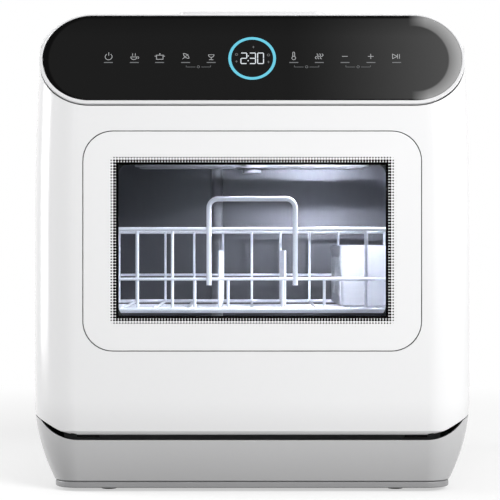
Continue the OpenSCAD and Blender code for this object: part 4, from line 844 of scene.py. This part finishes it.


# Painted light on the pane: a painted reflection that rises to the right, and painted shade along the top,
# bottom and left rims.
darkest, reflection_rise_right, left_centre, right_centre = 0.007, 0.05, -0.153, 0.1542
glass_x = split.outputs["X"]
glass_z = math_node(tree, "SUBTRACT", split.outputs["Z"], panel_mid)
painted_reflection_ramp = math_node(tree, "POWER", ramp(tree, glass_x, 0.033, 0.182, 0, 1), 1.5)
shade = math_node(tree, "ADD", math_node(tree, "MULTIPLY", painted_reflection_ramp, reflection_rise_right), darkest)
shade = math_node(tree, "MULTIPLY", shade, ramp(tree, glass_z, 0.022, 0.04, 1, 0.62))
past_left = math_node(tree, "MINIMUM", math_node(tree, "SUBTRACT", glass_x, left_centre), 0)
left_rim = distance_from(tree, past_left, glass_z)
shade = math_node(tree, "MULTIPLY", shade, ramp(tree, left_rim, 0.0395, 0.0412, 1, 0))
right_rim = distance_from(tree, math_node(tree, "SUBTRACT", glass_x, right_centre), glass_z)
# Painted reflection: the light crescent in the pane's right end.
painted_crescent = math_node(tree, "ADD", ramp(tree, right_rim, 0.032, 0.0336, 0, 0.11),
                     ramp(tree, right_rim, 0.0336, 0.0436, 0, 0.16))
painted_crescent = math_node(tree, "MULTIPLY", painted_crescent, ramp(tree, glass_x, 0.15, 0.166, 0, 1))
shade = math_node(tree, "ADD", shade, painted_crescent)
grey = tree.nodes.new("ShaderNodeCombineColor")
for channel in ("Red", "Green", "Blue"):
    tree.links.new(shade, grey.inputs[channel])
tree.links.new(grey.outputs[0], bsdf.inputs["Base Color"])
pane = stadium(trim_wide - 2 * trim_band, trim_high - 2 * trim_band, -trim_deep, 0)
round_rims(pane, 0.0008, 3)
bmesh.ops.transform(pane, matrix=slope_place @ Matrix.Translation((0, glass_up, 0)), verts=pane.verts)
fit_piece("panel_pane", pane, "cabinet", "panel_glass", glass_black, "control_glass")

# Marks on the glass: a lit ring, seven-segment digits and a row of plain line icons with faint dashes below.
# They are printed or lit from behind, so they are skins less than a tenth of a millimetre thick.
skin_up, skin_thick = 0.00003, 0.00007


def lit(name, colour, strength):
    """A lit or printed mark, with the slight unevenness of its light guide."""
    made = bpy.data.materials.new(name)
    made.use_nodes = True
    nodes, links = made.node_tree.nodes, made.node_tree.links
    bsdf = nodes["Principled BSDF"]
    bsdf.inputs["Base Color"].default_value = (*[c * 0.04 for c in colour], 1)
    bsdf.inputs["Emission Color"].default_value = (*colour, 1)
    where = nodes.new("ShaderNodeTexCoord")
    cloud = nodes.new("ShaderNodeTexNoise")
    cloud.inputs["Scale"].default_value = 120
    links.new(where.outputs["Object"], cloud.inputs["Vector"])
    glow = nodes.new("ShaderNodeMapRange")
    glow.inputs["To Min"].default_value = strength * 0.9
    glow.inputs["To Max"].default_value = strength * 1.1
    links.new(cloud.outputs["Fac"], glow.inputs["Value"])
    links.new(glow.outputs["Result"], bsdf.inputs["Emission Strength"])
    return made


def bar(bm, u, v, long, thick, degrees=0.0):
    """A straight stroke, centred on (u, v) in millimetres."""
    made = bmesh.ops.create_grid(bm, x_segments=1, y_segments=1, size=0.5)["verts"]
    bmesh.ops.scale(bm, vec=(long / 1000, thick / 1000, 1), verts=made)
    bmesh.ops.rotate(bm, cent=(0, 0, 0), matrix=Matrix.Rotation(math.radians(degrees), 3, "Z"), verts=made)
    bmesh.ops.translate(bm, vec=(u / 1000, v / 1000, 0), verts=made)


def arc(bm, u, v, radius, thick, start=0.0, sweep=360.0, tall=1.0):
    """A round stroke about (u, v) in millimetres, from an angle over a sweep."""
    inner, outer = ((radius + k * thick / 2) / 1000 for k in (-1, 1))
    verts = [bm.verts.new((inner, 0, 0)), bm.verts.new((outer, 0, 0))]
    geom = verts + [bm.edges.new(verts)]
    bmesh.ops.rotate(bm, cent=(0, 0, 0), matrix=Matrix.Rotation(math.radians(start), 3, "Z"), verts=verts)
    steps = max(6, round(sweep / 7.5))
    before = set(bm.verts)
    bmesh.ops.spin(bm, geom=geom, cent=(0, 0, 0), axis=(0, 0, 1), dvec=(0, 0, 0), angle=math.radians(sweep),
                   steps=steps, use_merge=sweep == 360, use_duplicate=False)
    made = verts + [w for w in bm.verts if w not in before]
    bmesh.ops.scale(bm, vec=(1, tall, 1), verts=made)
    bmesh.ops.translate(bm, vec=(u / 1000, v / 1000, 0), verts=made)


def disc(bm, u, v, radius, segments=20):
    """A filled dot at (u, v) in millimetres."""
    made = bmesh.ops.create_circle(bm, cap_ends=True, radius=radius / 1000, segments=segments)["verts"]
    bmesh.ops.translate(bm, vec=(u / 1000, v / 1000, 0), verts=made)


def print_on_glass(name, bm, slot, finish):
    """Lays flat marks on the sloping pane, facing outwards, and gives them a skin's thickness."""
    bmesh.ops.recalc_face_normals(bm, faces=bm.faces)
    bmesh.ops.transform(bm, matrix=slope_place @ Matrix.Translation((0, 0, skin_up)), verts=bm.verts)
    for face in bm.faces:
        face.normal_update()
        if face.normal.dot(slope_normal) < 0:
            face.normal_flip()
    piece = fit_piece(name, bm, "cabinet", slot, finish)
    skin = piece.modifiers.new("skin", "SOLIDIFY")
    skin.thickness = skin_thick
    skin.offset = 1
    return piece


def digit(bm, u, segments, wide=6.4, high=12.4, thick=0.85):
    """A seven-segment digit, its segments named a to g from the top, clockwise, the middle one last."""
    half, quarter = high / 2 - thick / 2, high / 4 - thick / 4
    reach = wide / 2 - thick / 2
    spots = {"a": (0, half, 0), "b": (reach, quarter, 90), "c": (reach, -quarter, 90), "d": (0, -half, 0),
             "e": (-reach, -quarter, 90), "f": (-reach, quarter, 90), "g": (0, 0, 0)}
    for name in segments:
        x, y, turn = spots[name]
        bar(bm, u + x, y, (half - thick * 0.6) if turn else (wide - thick * 1.5), thick, turn)


ring = bmesh.new()
arc(ring, 0, 0, 21.3, 2.7, tall=1.03)
print_on_glass("ring_glow", ring, "ring_light", lit("ring_cyan", (0.1, 0.54, 0.7), 1.0))
figures = bmesh.new()
digit(figures, -7.9, "abged")
digit(figures, 0.4, "abgcd")
digit(figures, 8.0, "abcdef")
for v in (-2.6, 2.6):
    disc(figures, -3.8, v, 0.6)
print_on_glass("figures", figures, "ring_light", lit("figure_white", (0.85, 0.9, 0.95), 0.9))

icons = bmesh.new()
icon_u = [-136.4, -111.8, -87.8, -63.2, -38.9, 39.5, 63.7, 88.1, 112.7, 137.1]
icon_v, thin = 2.1, 0.6
power, cup, pot, leaf, goblet, steam, dry, minus, plus, start = icon_u
arc(icons, power, icon_v - 0.4, 3.3, thin, 125, 290)
bar(icons, power, icon_v + 2.6, 3.6, thin, 90)
arc(icons, cup - 0.6, icon_v - 0.6, 2.9, thin, 180, 180)
bar(icons, cup - 0.6, icon_v - 0.6, 6.4, thin)
arc(icons, cup + 2.9, icon_v - 1.4, 1.2, thin * 0.8, -90, 180)
for k in (-1, 1):
    bar(icons, cup - 0.6 + k * 1.3, icon_v + 2.0, 2.6, thin, 90)
bar(icons, pot, icon_v - 3.2, 6.2, thin)
for k in (-1, 1):
    bar(icons, pot + k * 3.1, icon_v - 1.2, 4.6, thin, 90)
    bar(icons, pot + k * 4.2, icon_v + 0.2, 1.4, thin)
bar(icons, pot, icon_v + 1.3, 7.4, thin)
disc(icons, pot, icon_v + 2.6, 0.7)
arc(icons, leaf - 2.2, icon_v - 2.2, 5.4, thin, 0, 90)
arc(icons, leaf + 2.2 + 1.0, icon_v + 2.2 + 1.0, 5.4, thin, 180, 90)
bar(icons, leaf - 0.3, icon_v - 0.3, 7.6, thin * 0.8, 45)
arc(icons, goblet, icon_v + 1.6, 2.6, thin, 180, 180)
bar(icons, goblet, icon_v - 2.3, 2.6, thin, 90)
bar(icons, goblet, icon_v - 3.6, 4.2, thin)
bar(icons, goblet, icon_v + 1.8, 5.6, thin * 0.8)
arc(icons, steam, icon_v - 1.8, 1.8, thin)
for k in (-1, 1):
    bar(icons, steam + k * 0.9, icon_v + 1.8, 4.2, thin, 90)
arc(icons, steam, icon_v + 3.8, 0.9, thin, 0, 180)
for k in (-1, 0, 1):
    arc(icons, dry + k * 2.4, icon_v + 1.4, 1.3, thin, -90, 180)
    arc(icons, dry + k * 2.4, icon_v - 1.4, 1.3, thin, 90, 180)
bar(icons, minus, icon_v, 5.4, thin)
bar(icons, plus, icon_v, 5.4, thin)
bar(icons, plus, icon_v, 5.4, thin, 90)
for k in (-1, 1):
    bar(icons, start - 1.6, icon_v + k * 1.35, 5.2, thin, -30 * k)
    bar(icons, start + 2.0 + k * 0.9, icon_v, 5.0, thin, 90)
bar(icons, start - 3.7, icon_v, 5.4, thin, 90)
print_on_glass("icons", icons, "panel_glass", lit("print_white", (0.62, 0.63, 0.64), 0.55))
faint = bmesh.new()
for u in icon_u:
    bar(faint, u, -4.6, 8.4, 0.9)
for mid in (-51, 51.6, 100.4):
    for k in (-1, 1):
        bar(faint, mid + k * 7.2, -9.5, 8.8, 0.35)
        bar(faint, mid + k * 11.6, -8.6, 1.8, 0.35, 90)
    arc(faint, mid, -9.3, 1.2, 0.4)
for u, v in ((-14.9, 4.2), (15.5, 3.6)):
    arc(faint, u, v, 1.1, 0.45)
for u, v in ((1.2, 12.4), (-14.9, -3.5), (15.5, -4)):
    bar(faint, u, v, 2.4, 0.5, 90)
    bar(faint, u, v, 2.0, 0.5)
print_on_glass("faint_marks", faint, "panel_glass", lit("print_grey", (0.24, 0.25, 0.26), 0.55))
# The ring's moulded light guide sits behind the pane.
finished(lit("ring_guide", (0.1, 0.5, 0.6), 0.3), "light_ring", edge=0)
